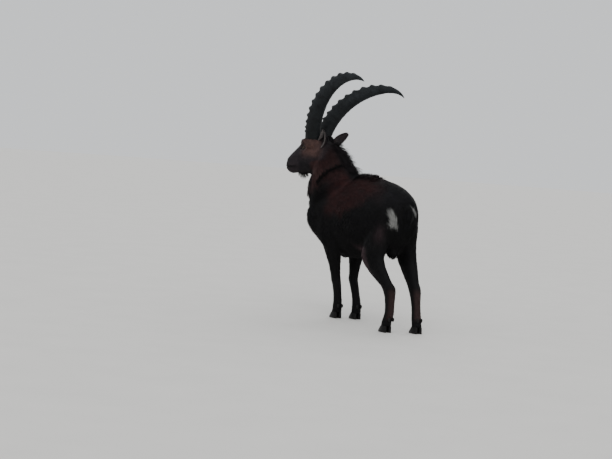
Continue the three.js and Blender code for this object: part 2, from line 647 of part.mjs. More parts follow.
// Legs, parted at the joints
const neckPlane = planeThrough(NECK_PLANE.withers, NECK_PLANE.breast);
const thighPlane = planeThrough(THIGH_PLANE.buttock, THIGH_PLANE.flank);
const legPlane = (leg) => (leg.startsWith('fore') ? levelPlane(ELBOW) : thighPlane);
const legs = Object.keys(LEG_POSES);
const shoulders = legs.map((leg) => legPlane(leg).above(limbForm(leg)));
const sockets = legs.map((leg) => legPlane(leg).below(limbForm(leg, GAP), -GAP / 2));

const scrotum = ball(SCROTUM.at, SCROTUM.radii, place, [12, 7]);
const trunk = join([trunkForm(), neckForm(), scrotum, ...shoulders]);
const backLocks = maneAlong(backLine, 11, WITHERS);
let torso = neckPlane.below(join([trunk, ...backLocks]));
sockets.forEach((socket) => { torso = torso.subtract(socket); });
add('torso', torso, COAT);
add('tail', tailForm().subtract(trunkForm(GAP)), DARK_COAT);

const napeLocks = maneAlong(napeLine, 23, MANE);
const neck = neckPlane.above(join([neckForm(), trunkForm(), ...napeLocks]));
add('neck', neck.subtract(headMass(GAP)), COAT);

legs.forEach((leg) => {
  const whole = legPlane(leg).below(limbForm(leg));
  const [kind, hand] = leg.split('_');
  const sole = (kind === 'fore' ? FORE_LIMB : HIND_LIMB).at(-1);
  const [at, side] = legAxis(leg, sole);
  if (kind === 'fore') {
    add(`forearm_${hand}`, levelPlane(CARPUS).above(whole), COAT);
  } else {
    add(`thigh_${hand}`, levelPlane(STIFLE).above(whole), COAT);
    add(`shank_${hand}`, levelPlane(HOCK).above(levelPlane(STIFLE).below(whole)), COAT);
  }
  add(`${kind}_cannon_${hand}`, levelPlane(kind === 'fore' ? CARPUS : HOCK).below(whole), DARK_COAT);
  for (const [claw, sign] of [['outer', hand === 'left' ? 1 : -1], ['inner', hand === 'left' ? -1 : 1]]) {
    const offset = (sign * (CLEFT + CLAW_WIDTH)) / 2;
    add(`${kind}_claw_${hand}_${claw}`, clawForm(at + CLAW_LEAD, side + offset, sign), HOOF);
    const fetlock = (kind === 'fore' ? FORE_LIMB : HIND_LIMB).at(-3);
    const [dewAt, dewSide] = legAxis(leg, fetlock);
    const dewRoot = [dewAt - fetlock.aft, dewSide + sign * DEWCLAW.apart, fetlock.up - DEWCLAW.below];
    const dew = ball(dewRoot, DEWCLAW.radii, place, [7, 5]);
    add(`${kind}_dewclaw_${hand}_${claw}`, dew.subtract(limbForm(leg, GAP)), HOOF);
  }
});

// Head: sockets and lids, nostrils, mouth line and beard cut into or joined to its mass
let head = headMass();
sides.forEach(([, sign]) => {
  const socket = ball(mirror(EYE_AT, sign), Array(3).fill(EYE_RADIUS + GAP), onHead);
  const lids = ball(mirror(LIDS.at, sign), LIDS.radii, onHead, [12, 8], new THREE.Euler(0, LIDS.tilt, 0));
  const slant = new THREE.Euler(0, NOSTRIL.tilt, sign * NOSTRIL.slant);
  const nostril = ball(mirror(NOSTRIL.at, sign), NOSTRIL.radii, onHead, [8, 6], slant);
  head = head.subtract(join([socket, lids, nostril]));
});
const mouthSlab = solid(new THREE.BoxGeometry(...MOUTH_SIZE)
  .rotateX(MOUTH_TILT)
  .translate(...place(...MOUTH_AT))
  .applyMatrix4(headPose));
head = head.subtract(mouthSlab.subtract(headForm(-LIP_DEPTH)));
add('head', join([head, ...beardLocks()]), COAT);
sides.forEach(([hand, sign]) => {
  add(`eye_${hand}`, ball(mirror(EYE_AT, sign), Array(3).fill(EYE_RADIUS), onHead, [14, 9]), EYE);
  add(`horn_${hand}`, hornForm(HORNS[hand], sign).subtract(headMass(GAP)), HORN);
  add(`ear_${hand}`, earForm(hand).subtract(headMass(GAP)).subtract(neck.add(neckForm(GAP))), COAT);
});

// The origin goes to the middle of the whole, on the floor
const middle = new THREE.Box3().setFromObject(group).getCenter(new THREE.Vector3());
group.position.set(-middle.x, -middle.y, 0);

export default group;
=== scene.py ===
# Looks of a life-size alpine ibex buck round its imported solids. Metres, +Z up.
# The animal faces -Y and its left side is +X.
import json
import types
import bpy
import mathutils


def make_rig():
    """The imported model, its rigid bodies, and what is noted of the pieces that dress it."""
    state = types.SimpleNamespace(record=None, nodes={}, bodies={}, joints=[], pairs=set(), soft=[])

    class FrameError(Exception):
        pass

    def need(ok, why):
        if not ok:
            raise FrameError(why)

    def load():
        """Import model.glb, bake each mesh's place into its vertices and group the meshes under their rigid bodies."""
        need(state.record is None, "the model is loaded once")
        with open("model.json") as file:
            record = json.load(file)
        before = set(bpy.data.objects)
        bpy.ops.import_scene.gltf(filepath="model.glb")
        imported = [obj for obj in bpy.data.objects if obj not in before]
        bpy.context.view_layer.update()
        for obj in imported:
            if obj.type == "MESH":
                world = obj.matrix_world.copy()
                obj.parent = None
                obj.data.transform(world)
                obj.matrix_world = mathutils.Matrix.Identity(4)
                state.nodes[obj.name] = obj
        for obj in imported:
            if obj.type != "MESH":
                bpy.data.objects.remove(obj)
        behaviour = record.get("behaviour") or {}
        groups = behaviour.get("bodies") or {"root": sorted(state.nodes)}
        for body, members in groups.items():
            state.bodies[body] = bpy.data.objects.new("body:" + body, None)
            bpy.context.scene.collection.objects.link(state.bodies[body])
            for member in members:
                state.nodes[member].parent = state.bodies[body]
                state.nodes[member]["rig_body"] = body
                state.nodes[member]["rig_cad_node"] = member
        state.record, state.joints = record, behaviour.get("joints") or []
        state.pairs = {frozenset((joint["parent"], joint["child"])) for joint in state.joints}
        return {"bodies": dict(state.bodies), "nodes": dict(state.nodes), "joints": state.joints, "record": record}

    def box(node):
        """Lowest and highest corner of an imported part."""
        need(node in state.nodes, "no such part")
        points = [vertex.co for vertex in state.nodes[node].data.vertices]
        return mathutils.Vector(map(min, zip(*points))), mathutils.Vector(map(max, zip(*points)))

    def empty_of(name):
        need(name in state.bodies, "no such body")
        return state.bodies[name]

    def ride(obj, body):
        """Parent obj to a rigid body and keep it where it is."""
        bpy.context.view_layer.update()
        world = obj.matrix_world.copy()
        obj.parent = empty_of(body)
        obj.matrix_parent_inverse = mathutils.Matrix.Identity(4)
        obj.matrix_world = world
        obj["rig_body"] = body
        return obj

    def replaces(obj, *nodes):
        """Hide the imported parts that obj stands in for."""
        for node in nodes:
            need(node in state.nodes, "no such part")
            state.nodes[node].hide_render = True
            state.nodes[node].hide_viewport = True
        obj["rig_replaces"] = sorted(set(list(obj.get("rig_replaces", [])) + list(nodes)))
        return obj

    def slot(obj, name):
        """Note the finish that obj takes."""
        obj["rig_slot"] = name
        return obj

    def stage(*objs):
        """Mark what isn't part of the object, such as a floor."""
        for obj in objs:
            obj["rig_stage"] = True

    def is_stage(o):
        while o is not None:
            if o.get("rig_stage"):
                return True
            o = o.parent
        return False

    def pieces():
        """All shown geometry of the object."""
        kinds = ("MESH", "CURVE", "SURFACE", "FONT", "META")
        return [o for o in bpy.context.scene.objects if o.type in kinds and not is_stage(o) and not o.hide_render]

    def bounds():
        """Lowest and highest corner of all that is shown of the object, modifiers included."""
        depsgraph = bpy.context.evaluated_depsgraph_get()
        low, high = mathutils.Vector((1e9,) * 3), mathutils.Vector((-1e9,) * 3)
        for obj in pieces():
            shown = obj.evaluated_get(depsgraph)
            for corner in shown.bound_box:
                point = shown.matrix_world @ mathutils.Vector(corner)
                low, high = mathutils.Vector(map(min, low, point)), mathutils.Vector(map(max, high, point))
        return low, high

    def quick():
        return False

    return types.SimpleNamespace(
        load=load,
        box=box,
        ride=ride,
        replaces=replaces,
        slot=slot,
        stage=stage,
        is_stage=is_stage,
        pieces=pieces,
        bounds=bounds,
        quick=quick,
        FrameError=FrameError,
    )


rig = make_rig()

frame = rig.load()

import json
import math

import bmesh
import bpy
import numpy as np
import openvdb as vdb
from mathutils import Matrix, Vector, kdtree
from mathutils.bvhtree import BVHTree

CAD_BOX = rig.bounds()
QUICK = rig.quick()

# Where the eyes lie in the head's own directions, and the head's origin in the trunk's
EYE_FORWARD, EYE_UP = 0.054, -0.044
HEAD_IN_TRUNK = (0.915, 0.147, 1.116)     # forward, left, up
EYE_RADIUS = 0.0155

LEGS = [(kind, hand) for kind in ("fore", "hind") for hand in ("left", "right")]
CLAWS = [f"{kind}_claw_{hand}_{side}" for kind, hand in LEGS for side in ("outer", "inner")]
DEWCLAWS = [name.replace("claw", "dewclaw") for name in CLAWS]
REGIONS = {
    "torso": ["torso"],
    "neck": ["neck"],
    "head": ["head"],
    "tail": ["tail"],
    "upper": ["forearm_left", "forearm_right", "thigh_left", "thigh_right"],
    "lower": ["shank_left", "shank_right", *[f"{kind}_cannon_{hand}" for kind, hand in LEGS]],
}
FLESH = [node for nodes in REGIONS.values() for node in nodes]
NAMES = list(REGIONS)

# The skin's making
BODY_VOXEL, HEAD_VOXEL = 0.006, 0.0025
BOX_MARGIN, NEAR_REACH, FAR_REACH = 6, 3, 8   # in voxels
LEG_BLUR, TRUNK_BLUR, HEAD_BLUR = 0.004, 0.012, 0.0045
SEAM = 0.001              # grows the solids a little so that their thin cuts close
OPENING = 0.009           # forms thinner than twice this, such as locks, are left off the skin
HEAD_OPENING = 0.006
CORE_DEPTH = 0.002        # how far the skin first lies inside the solids
HOOF_CUT = 0.030          # the skin ends here, inside the claws
SLEEVE_DEPTH = 0.0065     # how far the hairy skin stands out round the horns' bases
SLEEVE_TOP = 0.010        # up to this height in the head's directions

# Coat by region: depth that the skin lies inside, tuft length, width, lift in degrees, tufts per
# square metre
COAT = {
    "torso": dict(depth=0.006, length=0.027, width=0.0023, lift=17, density=56000),
    "neck": dict(depth=0.007, length=0.034, width=0.0025, lift=19, density=52000),
    "head": dict(depth=0.0015, length=0.010, width=0.0013, lift=14, density=170000),
    "tail": dict(depth=0.006, length=0.034, width=0.0023, lift=16, density=60000),
    "upper": dict(depth=0.0035, length=0.020, width=0.0020, lift=14, density=60000),
    "lower": dict(depth=0.0012, length=0.011, width=0.0016, lift=12, density=76000),
}
TUFT_FLATNESS = 0.5       # a tuft's height as a share of its width
MIDDLE_FROM, FRONT_FROM = 0.30, 0.60   # where the coat is cut into pieces along the trunk
SKIN_SHADE = 0.75         # the skin under the hair is this much darker

# With quick there are fewer tufts, and the body's are wider
BODY_SHARE, LOCK_SHARE, EAR_SHARE, BODY_WIDER = (0.3, 0.5, 0.4, 1.7) if QUICK else (1, 1, 1, 1)

# Colours as they look, 0 to 255
SADDLE = (49, 24, 24)
RUMP = (26, 25, 28)
FLANK = (14, 13, 15)
BELLY = (12, 11, 13)
LEG = (10, 9, 11)
NECK = (44, 25, 25)
THROAT = (70, 50, 49)
THIGH = (64, 49, 53)
MUZZLE = (42, 37, 41)
JAW = (25, 23, 26)
CHEEK = (94, 70, 65)
PALE = (138, 138, 136)
DARK = (10, 10, 12)
# painted shade: near-black for the neck's fold and for the creases under and between the buttocks
SHADED = (5, 5, 6)
NAPE_TONE = (19, 19, 22)
CANNON_BACK = (62, 45, 44)
NOSE = (36, 34, 37)
LIPS = (20, 18, 19)
BRIDGE = (27, 25, 27)
BEARD = (24, 22, 22)
EAR_BACK, EAR_HOLE, EAR_RIM = (44, 38, 39), (15, 15, 16), (124, 118, 117)
HORN_BASE, HORN_TIP, HORN_KNOB, HORN_GRIME = (14, 17, 18), (30, 34, 37), (46, 47, 48), (9, 9, 10)
HOOF, HOOF_SCUFFED = (12, 11, 11), (34, 31, 29)
IRIS_DARK, IRIS_LIGHT, IRIS_RIM = (58, 40, 22), (92, 66, 38), (24, 16, 12)
EYE_WHITE, PUPIL = (24, 17, 15), (4, 4, 4)
BARE_DARK, BARE_LIGHT = (14, 12, 12), (28, 24, 23)
FLOOR = (214, 212, 208)


def linear(colour):
    """A colour from 0 to 255 as linear light."""
    c = np.asarray(colour, float) / 255
    return np.where(c <= 0.04045, c / 12.92, ((c + 0.055) / 1.055) ** 2.4)


def unit(v):
    v = np.asarray(v, float)
    return v / np.maximum(np.linalg.norm(v, axis=-1, keepdims=True), 1e-12)


def step(low, high, x):
    """Rises smoothly from 0 at low to 1 at high."""
    t = np.clip((np.asarray(x, float) - low) / (high - low), 0, 1)
    return t * t * (3 - 2 * t)


def mixed(a, b, share):
    return a + (b - a) * np.asarray(share)[..., None]


def noise(points, size, seed):
    """Smooth random numbers from -1 to 1 that change over about the given size."""
    q = np.asarray(points) / size + 100.0 + seed * 7.31
    i = np.floor(q).astype(np.int64)
    f = q - i
    f = f * f * (3 - 2 * f)
    total = np.zeros(len(q))
    for corner in np.ndindex(2, 2, 2):
        c = i + np.array(corner)
        h = (c[:, 0] * 73856093) ^ (c[:, 1] * 19349663) ^ (c[:, 2] * 83492791) ^ (seed * 2654435)
        h = (h * 2654435761) & 0xFFFFFFFF
        h = ((h ^ (h >> 15)) * 2246822519) & 0xFFFFFFFF
        h = h ^ (h >> 13)
        total += np.prod(np.where(corner, f, 1 - f), axis=1) * (h / 2**31 - 1)
    return total


# Directions and places
def centre(node):
    low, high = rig.box(node)
    return np.array((low + high) / 2)


eyes = {"left": centre("eye_left"), "right": centre("eye_right")}
HEAD_LEFT = unit(eyes["left"] - eyes["right"])
HEAD_FORWARD = unit([HEAD_LEFT[1], -HEAD_LEFT[0], 0])
HEAD_UP = np.cross(HEAD_LEFT, -HEAD_FORWARD)
HEAD_WAYS = np.stack([HEAD_FORWARD, HEAD_LEFT, HEAD_UP])
HEAD_AT = (eyes["left"] + eyes["right"]) / 2 - EYE_FORWARD * HEAD_FORWARD - EYE_UP * HEAD_UP
RUMP_AT = HEAD_AT - np.array([HEAD_IN_TRUNK[1], -HEAD_IN_TRUNK[0], HEAD_IN_TRUNK[2]])


def on_head(places):
    """Points given as forward, left and up on the head."""
    return HEAD_AT + places @ HEAD_WAYS


def in_head(points):
    """Forward, left and up of points in the head's directions."""
    away = points - HEAD_AT
    return away @ HEAD_FORWARD, away @ HEAD_LEFT, away @ HEAD_UP


def in_trunk(points):
    """Forward, left and up of points in the trunk's directions."""
    away = points - RUMP_AT
    return -away[..., 1], away[..., 0], away[..., 2]


def path_distance(points, path):
    """How far points lie from a path in the trunk's directions, plain and above 0 where below it."""
    line = np.array(path)
    line = RUMP_AT + np.stack([line[:, 1], -line[:, 0], line[:, 2]], axis=1)
    best, signed = np.full(len(points), 9.0), np.full(len(points), 9.0)
    for a, b in zip(line[:-1], line[1:]):
        t = np.clip(((points - a) @ (b - a)) / ((b - a) @ (b - a)), 0, 1)
        away = points - a - t[:, None] * (b - a)
        far = np.linalg.norm(away, axis=1)
        closer = far < best
        best = np.where(closer, far, best)
        signed = np.where(closer, far * np.sign(-away[:, 2]), signed)
    return best, signed


def eye_distance(points):
    """How far points lie from the middle of the nearer eye."""
    return np.minimum(*(np.linalg.norm(points - middle, axis=1) for middle in eyes.values()))


def on_surface(ways, out):
    """Directions laid flat on the surface that faces out."""
    return unit(ways - out * (ways * out).sum(1)[:, None])


# Distance fields
class Field:
    """Distances to the flesh on a box of voxels, negative inside."""

    def __init__(self, nodes, voxel, opening, blurs):
        soups = [soup(node) for node in nodes]
        low = np.min([points.min(0) for points, _ in soups], axis=0)
        high = np.max([points.max(0) for points, _ in soups], axis=0)
        self.voxel = voxel
        self.low = np.floor(low / voxel).astype(int) - BOX_MARGIN
        self.shape = tuple(np.ceil(high / voxel).astype(int) + BOX_MARGIN - self.low)
        merged = np.full(self.shape, NEAR_REACH * voxel, np.float32)
        for points, faces in soups:
            merged = np.minimum(merged, self.distance(points, faces, NEAR_REACH))
        for node in ("horn_left", "horn_right"):
            horn = self.distance(*soup(node), NEAR_REACH) - SLEEVE_DEPTH
            merged = np.minimum(merged, np.maximum(horn, self.above_brow()))
        outer = self.distance(*self.surface(merged, SEAM), FAR_REACH)
        core = self.distance(*self.surface(outer, -(SEAM + opening)), FAR_REACH)
        self.values = blurs(core - opening, self)

    def distance(self, points, faces, reach):
        kind = "triangles" if faces.shape[1] == 3 else "quads"
        grid = vdb.FloatGrid.createLevelSetFromPolygons(
            points, **{kind: faces}, halfWidth=reach,
            transform=vdb.createLinearTransform(voxelSize=self.voxel))
        values = np.empty(self.shape, np.float32)
        grid.copyToArray(values, ijk=tuple(int(i) for i in self.low))
        return values

    def surface(self, values, level):
        grid = vdb.FloatGrid(float(values.max()) + 1)
        grid.copyFromArray(np.ascontiguousarray(values), ijk=tuple(int(i) for i in self.low))
        grid.transform = vdb.createLinearTransform(voxelSize=self.voxel)
        return grid.convertToQuads(isovalue=level)

    def heights(self):
        """The height of each level of voxels."""
        return (self.low[2] + np.arange(self.shape[2])) * self.voxel

    def above_brow(self):
        """How far each voxel lies above the level up to which hair covers the horns."""
        axes = [(self.low[k] + np.arange(self.shape[k])) * self.voxel - HEAD_AT[k] for k in range(3)]
        x, y, z = np.meshgrid(*axes, indexing="ij", sparse=True)
        return (x * HEAD_UP[0] + y * HEAD_UP[1] + z * HEAD_UP[2] - SLEEVE_TOP).astype(np.float32)

    def at(self, points):
        q = np.asarray(points) / self.voxel - self.low
        i = np.clip(np.floor(q).astype(int), 0, np.array(self.shape) - 2)
        f = np.clip(q - i, 0, 1)
        total = np.zeros(len(q))
        for corner in np.ndindex(2, 2, 2):
            c = i + np.array(corner)
            total += np.prod(np.where(corner, f, 1 - f), axis=1) * self.values[c[:, 0], c[:, 1], c[:, 2]]
        return total

    def slope(self, points):
        offsets = np.eye(3) * self.voxel
        parts = [self.at(points + o) - self.at(points - o) for o in offsets]
        return np.stack(parts, axis=1) / (2 * self.voxel)


def soup(node):
    """A CAD node's corners and triangles."""
    points, faces = corners_of(frame["nodes"][node].data)
    return points.astype(np.float32), faces.astype(np.uint32)


def blurred(values, spread, voxel):
    """A field smoothed over a distance."""
    reach = int(math.ceil(2.5 * spread / voxel))
    weights = np.exp(-0.5 * (np.arange(-reach, reach + 1) * voxel / spread) ** 2)
    weights /= weights.sum()
    for axis in range(3):
        padded = np.pad(values, [(reach, reach) if k == axis else (0, 0) for k in range(3)], "edge")
        size = values.shape[axis]
        values = sum(
            w * np.take(padded, np.arange(k, k + size), axis=axis) for k, w in enumerate(weights)
        ).astype(np.float32)
    return values


def body_blurs(values, field):
    """Smooths the trunk more than the legs."""
    fine = blurred(values, LEG_BLUR, field.voxel)
    broad = blurred(values, TRUNK_BLUR, field.voxel)
    share = step(0.42, 0.56, field.heights()).astype(np.float32)
    return fine + (broad - fine) * share


def head_blurs(values, field):
    return blurred(values, HEAD_BLUR, field.voxel)


# Meshes
def corners_of(mesh):
    points = np.empty(len(mesh.vertices) * 3)
    mesh.vertices.foreach_get("co", points)
    mesh.calc_loop_triangles()
    faces = np.empty(len(mesh.loop_triangles) * 3, np.int32)
    mesh.loop_triangles.foreach_get("vertices", faces)
    return points.reshape(-1, 3), faces.reshape(-1, 3)


def mesh_of(name, points, faces):
    """A mesh from arrays, its faces all with the same number of corners."""
    mesh = bpy.data.meshes.new(name)
    mesh.vertices.add(len(points))
    mesh.vertices.foreach_set("co", np.asarray(points, np.float32).ravel())
    mesh.loops.add(faces.size)
    mesh.loops.foreach_set("vertex_index", np.asarray(faces, np.int32).ravel())
    mesh.polygons.add(len(faces))
    mesh.polygons.foreach_set("loop_start", np.arange(0, faces.size, faces.shape[1], dtype=np.int32))
    mesh.update(calc_edges=True)
    mesh.validate()
    return mesh


def attach(mesh, name, kind, values):
    """Gives each corner of a mesh a named value."""
    field = {"FLOAT": "value", "FLOAT_VECTOR": "vector", "FLOAT_COLOR": "color"}[kind]
    mesh.attributes.new(name, kind, "POINT").data.foreach_set(
        field, np.asarray(values, np.float32).ravel())


def colour_corners(mesh, colours):
    """Gives each corner of a mesh its colour, as linear light."""
    attach(mesh, "coat", "FLOAT_COLOR", np.column_stack([colours, np.ones(len(colours))]))


def placed(name, data):
    """A new object in the scene."""
    made = bpy.data.objects.new(name, data)
    bpy.context.scene.collection.objects.link(made)
    return made


def piece(name, mesh, material, slot, replaces=()):
    """Puts a finished mesh in the scene on the frame."""
    made = placed(name, mesh)
    mesh.materials.append(material)
    mesh.polygons.foreach_set("use_smooth", np.ones(len(mesh.polygons), bool))
    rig.ride(made, "root")
    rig.slot(made, slot)
    if replaces:
        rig.replaces(made, *replaces)


def facing(points, faces):
    """Each corner's outward direction, and each face's area."""
    a, b, c = (points[faces[:, k]] for k in range(3))
    cross = np.cross(b - a, c - a)
    total = np.zeros_like(points)
    for k in range(3):
        for axis in range(3):
            total[:, axis] += np.bincount(faces[:, k], cross[:, axis], len(points))
    return unit(total), np.linalg.norm(cross, axis=1) / 2


def neighbours(faces):
    edges = np.concatenate([faces[:, [0, 1]], faces[:, [1, 2]], faces[:, [2, 0]]])
    return np.unique(np.sort(edges, axis=1), axis=0)


def spread(values, edges, rounds, share=0.5):
    """Evens out values between neighbouring corners."""
    values = np.array(values, float)
    flat = values.reshape(len(values), -1)
    count = np.maximum(np.bincount(edges.ravel(), minlength=len(flat)), 1)[:, None]
    for _ in range(rounds):
        total = np.stack([
            np.bincount(edges[:, 0], column[edges[:, 1]], len(flat))
            + np.bincount(edges[:, 1], column[edges[:, 0]], len(flat)) for column in flat.T], axis=1)
        flat = flat + share * (total / count - flat)
    return flat.reshape(values.shape)


def unwrap(points, out, box):
    """Places on a flat sheet of six cells, one for each way that the surface faces."""
    low, high = box
    at = (points - low) / np.maximum(high - low, 1e-6)
    axis = np.abs(out).argmax(1)
    ahead = np.take_along_axis(out, axis[:, None], 1)[:, 0] > 0
    across = np.where(axis == 0, at[:, 1], at[:, 0])
    along = np.where(axis == 2, at[:, 1], at[:, 2])
    inset = 0.03
    u = (axis + inset + (1 - 2 * inset) * across) / 3
    v = (ahead + inset + (1 - 2 * inset) * along) / 2
    return np.stack([u, v], axis=1)


def bake_map(mesh, uv):
    """Adds the flat map that the finish is baked on, one place for each face corner."""
    layer = mesh.uv_layers.new(name="OFBake")
    layer.data.foreach_set("uv", np.asarray(uv, np.float32).ravel())


def box_of(points):
    return points.min(0), points.max(0)


# Materials
class Paint:
    """A material's node tree with short calls for the nodes used here. Colours go from 0 to 255."""

    def __init__(self, name, roughness, specular):
        self.material = bpy.data.materials.new(name)
        self.material.use_nodes = True
        self.tree = self.material.node_tree
        self.shader = self.tree.nodes["Principled BSDF"]
        self.shader.inputs["Roughness"].default_value = roughness
        self.shader.inputs["Specular IOR Level"].default_value = specular

    def node(self, kind, values=(), **settings):
        made = self.tree.nodes.new(f"ShaderNode{kind}")
        for key, value in settings.items():
            setattr(made, key, value)
        for key, value in dict(values).items():
            self.feed(made.inputs[key], value)
        return made

    def feed(self, socket, value):
        """Links a socket to another one, or sets its value."""
        if isinstance(value, bpy.types.NodeSocket):
            self.tree.links.new(value, socket)
        elif socket.type == "RGBA":
            socket.default_value = (*linear(value), 1)
        else:
            socket.default_value = value

    def link(self, socket, name):
        self.tree.links.new(socket, self.shader.inputs[name])

    def attribute(self, name, output="Fac"):
        return self.node("Attribute", attribute_name=name).outputs[output]

    def place(self, stretch=(1, 1, 1)):
        where = self.node("TexCoord").outputs["Object"]
        return self.node("Mapping", {"Vector": where, "Scale": stretch}).outputs["Vector"]

    def noise(self, scale, detail=3, rough=0.5, where=None):
        where = where or self.place()
        values = {"Vector": where, "Scale": scale, "Detail": detail, "Roughness": rough}
        return self.node("TexNoise", values).outputs["Fac"]

    def math(self, operation, a, b=0.0):
        return self.node("Math", {0: a, 1: b}, operation=operation).outputs[0]

    def range(self, value, low, high, to_low, to_high):
        values = {"Value": value, "From Min": low, "From Max": high, "To Min": to_low, "To Max": to_high}
        return self.node("MapRange", values).outputs["Result"]

    def mix(self, share, a, b, blend="MIX"):
        made = self.node("Mix", data_type="RGBA", blend_type=blend)
        sockets = {"Factor_Float": share, "A_Color": a, "B_Color": b}
        for socket in made.inputs:
            if socket.identifier in sockets:
                self.feed(socket, sockets[socket.identifier])
        return next(s for s in made.outputs if s.identifier == "Result_Color")

    def fade(self, value, low, high, a, b, most=1):
        """Goes from a towards b as value goes from low to high."""
        return self.mix(self.range(value, low, high, 0, most), a, b)

    def power(self, value, exponent):
        return self.math("POWER", self.math("ABSOLUTE", value), exponent)

    def bump(self, height, strength, distance):
        values = {"Height": height, "Strength": strength, "Distance": distance}
        self.link(self.node("Bump", values).outputs["Normal"], "Normal")


def coat_material(name, bumpy):
    """Hair whose colour comes from the markings, broken up by fine variation."""
    paint = Paint(name, roughness=0.62, specular=0.13)
    paint.shader.inputs["Sheen Weight"].default_value = 0.02
    paint.shader.inputs["Sheen Roughness"].default_value = 0.45
    coarse = paint.range(paint.noise(45, 4), 0.3, 0.7, 0.78, 1.22)
    fine = paint.range(paint.noise(320, 2), 0.3, 0.7, 0.85, 1.15)
    shade = paint.math("MULTIPLY", coarse, fine)
    colour = paint.mix(1.0, paint.attribute("coat", "Color"), shade, "MULTIPLY")
    paint.link(colour, "Base Color")
    if bumpy:
        strands = paint.noise(700, 3, 0.6, paint.place((1, 0.35, 0.35)))
        paint.bump(strands, 0.5, 0.0015)
    return paint.material


def horn_material():
    """Weathered horn: dark grooves, paler worn knobs and fine growth rings."""
    paint = Paint("horn_worn", roughness=0.5, specular=0.16)
    along = paint.attribute("along")
    base = paint.fade(along, 0.0, 0.7, HORN_BASE, HORN_TIP)
    worn = paint.fade(paint.attribute("lift"), 0.3, 1.0, base, HORN_KNOB, 0.5)
    streaks = paint.noise(26, 6, 0.65)
    paint.link(paint.fade(streaks, 0.42, 0.7, worn, HORN_GRIME, 0.75), "Base Color")
    drift = paint.math("MULTIPLY", paint.noise(18, 4), 34.0)
    rings = paint.math("SINE", paint.math("ADD", paint.math("MULTIPLY", along, 760.0), drift))
    faint = paint.range(paint.noise(24, 3), 0.42, 0.65, 0.02, 0.3)
    wavy = paint.math("ADD", paint.math("MULTIPLY", rings, faint), paint.noise(130, 5, 0.6))
    paint.bump(wavy, 0.5, 0.001)
    paint.link(paint.range(streaks, 0.3, 0.7, 0.42, 0.66), "Roughness")
    return paint.material


def hoof_material():
    """Dark horn with level growth lines, paler and scuffed at the ground."""
    paint = Paint("hoof_horn", roughness=0.45, specular=0.2)
    height = paint.node("SeparateXYZ", {"Vector": paint.place()}).outputs["Z"]
    scuff = paint.range(height, 0.0, 0.014, 1, 0)
    dirt = paint.math("MULTIPLY", scuff, paint.range(paint.noise(160, 4), 0.35, 0.65, 0, 1))
    paint.link(paint.mix(dirt, HOOF, HOOF_SCUFFED), "Base Color")
    paint.bump(paint.noise(1, 4, 0.6, paint.place((60, 60, 700))), 0.5, 0.0008)
    paint.link(paint.range(paint.noise(90, 3), 0.3, 0.7, 0.36, 0.62), "Roughness")
    return paint.material


def eye_material():
    """An amber iris mottled by noise, with a level slit pupil, wet all over."""
    paint = Paint("eye_wet", roughness=0.09, specular=0.25)
    gaze = paint.attribute("gaze", "Vector")
    parts = paint.node("SeparateXYZ", {"Vector": gaze}).outputs
    radius = paint.math("SQRT", paint.math("ADD", *(paint.power(parts[k], 2.0) for k in ("X", "Y"))))
    amber = paint.fade(paint.noise(9, 5, 0.7, gaze), 0.35, 0.65, IRIS_DARK, IRIS_LIGHT)
    rim = paint.fade(radius, 0.46, 0.62, amber, IRIS_RIM)
    white = paint.fade(radius, 0.66, 0.72, rim, EYE_WHITE)
    wide = paint.power(paint.math("DIVIDE", parts["X"], 0.4), 4.0)
    tall = paint.power(paint.math("DIVIDE", parts["Y"], 0.14), 4.0)
    slit = paint.range(paint.math("ADD", wide, tall), 0.85, 1.15, 1, 0)
    paint.link(paint.mix(slit, white, PUPIL), "Base Color")
    return paint.material


def bare_material():
    """Dark moist skin of the lids."""
    paint = Paint("bare_skin", roughness=0.42, specular=0.2)
    pores = paint.noise(600, 3)
    paint.link(paint.fade(pores, 0.35, 0.65, BARE_DARK, BARE_LIGHT), "Base Color")
    paint.bump(pores, 0.5, 0.0006)
    return paint.material


# Markings
def markings(points, out):
    """The coat's colour at places on the skin, from back to belly and head to tail."""
    forward, left, up = in_trunk(points)
    wobble = 0.03 * noise(points, 0.11, 3) + 0.015 * noise(points, 0.04, 4)
    height, along = up + wobble, forward + wobble
    colour = mixed(linear(BELLY), linear(FLANK), step(0.47, 0.62, height))
    colour = mixed(colour, linear(RUMP), step(0.72, 0.84, height))
    edge = 0.79 - 0.12 * step(0.30, 0.60, along)
    saddle = step(-0.045, 0.045, height - edge) * step(0.14, 0.36, along) * step(0.80, 0.68, along)
    streaky = np.clip(0.86 + 0.3 * noise(points * np.array([1, 0.5, 1]), 0.03, 6), 0, 1)
    colour = mixed(colour, linear(SADDLE), saddle * streaky)
    dorsal = step(0.075, 0.02, np.abs(left - 0.012)) * step(0.78, 0.87, up) * step(0.78, 0.68, forward)
    colour = mixed(colour, linear(DARK), 0.65 * dorsal)
    colour = neck_markings(colour, points, forward, up)
    colour = rear_markings(colour, out, forward, left, up, height)
    colour = mixed(colour, linear(PALE), rump_patch(forward, left, up, points))
    return head_markings(colour, points)


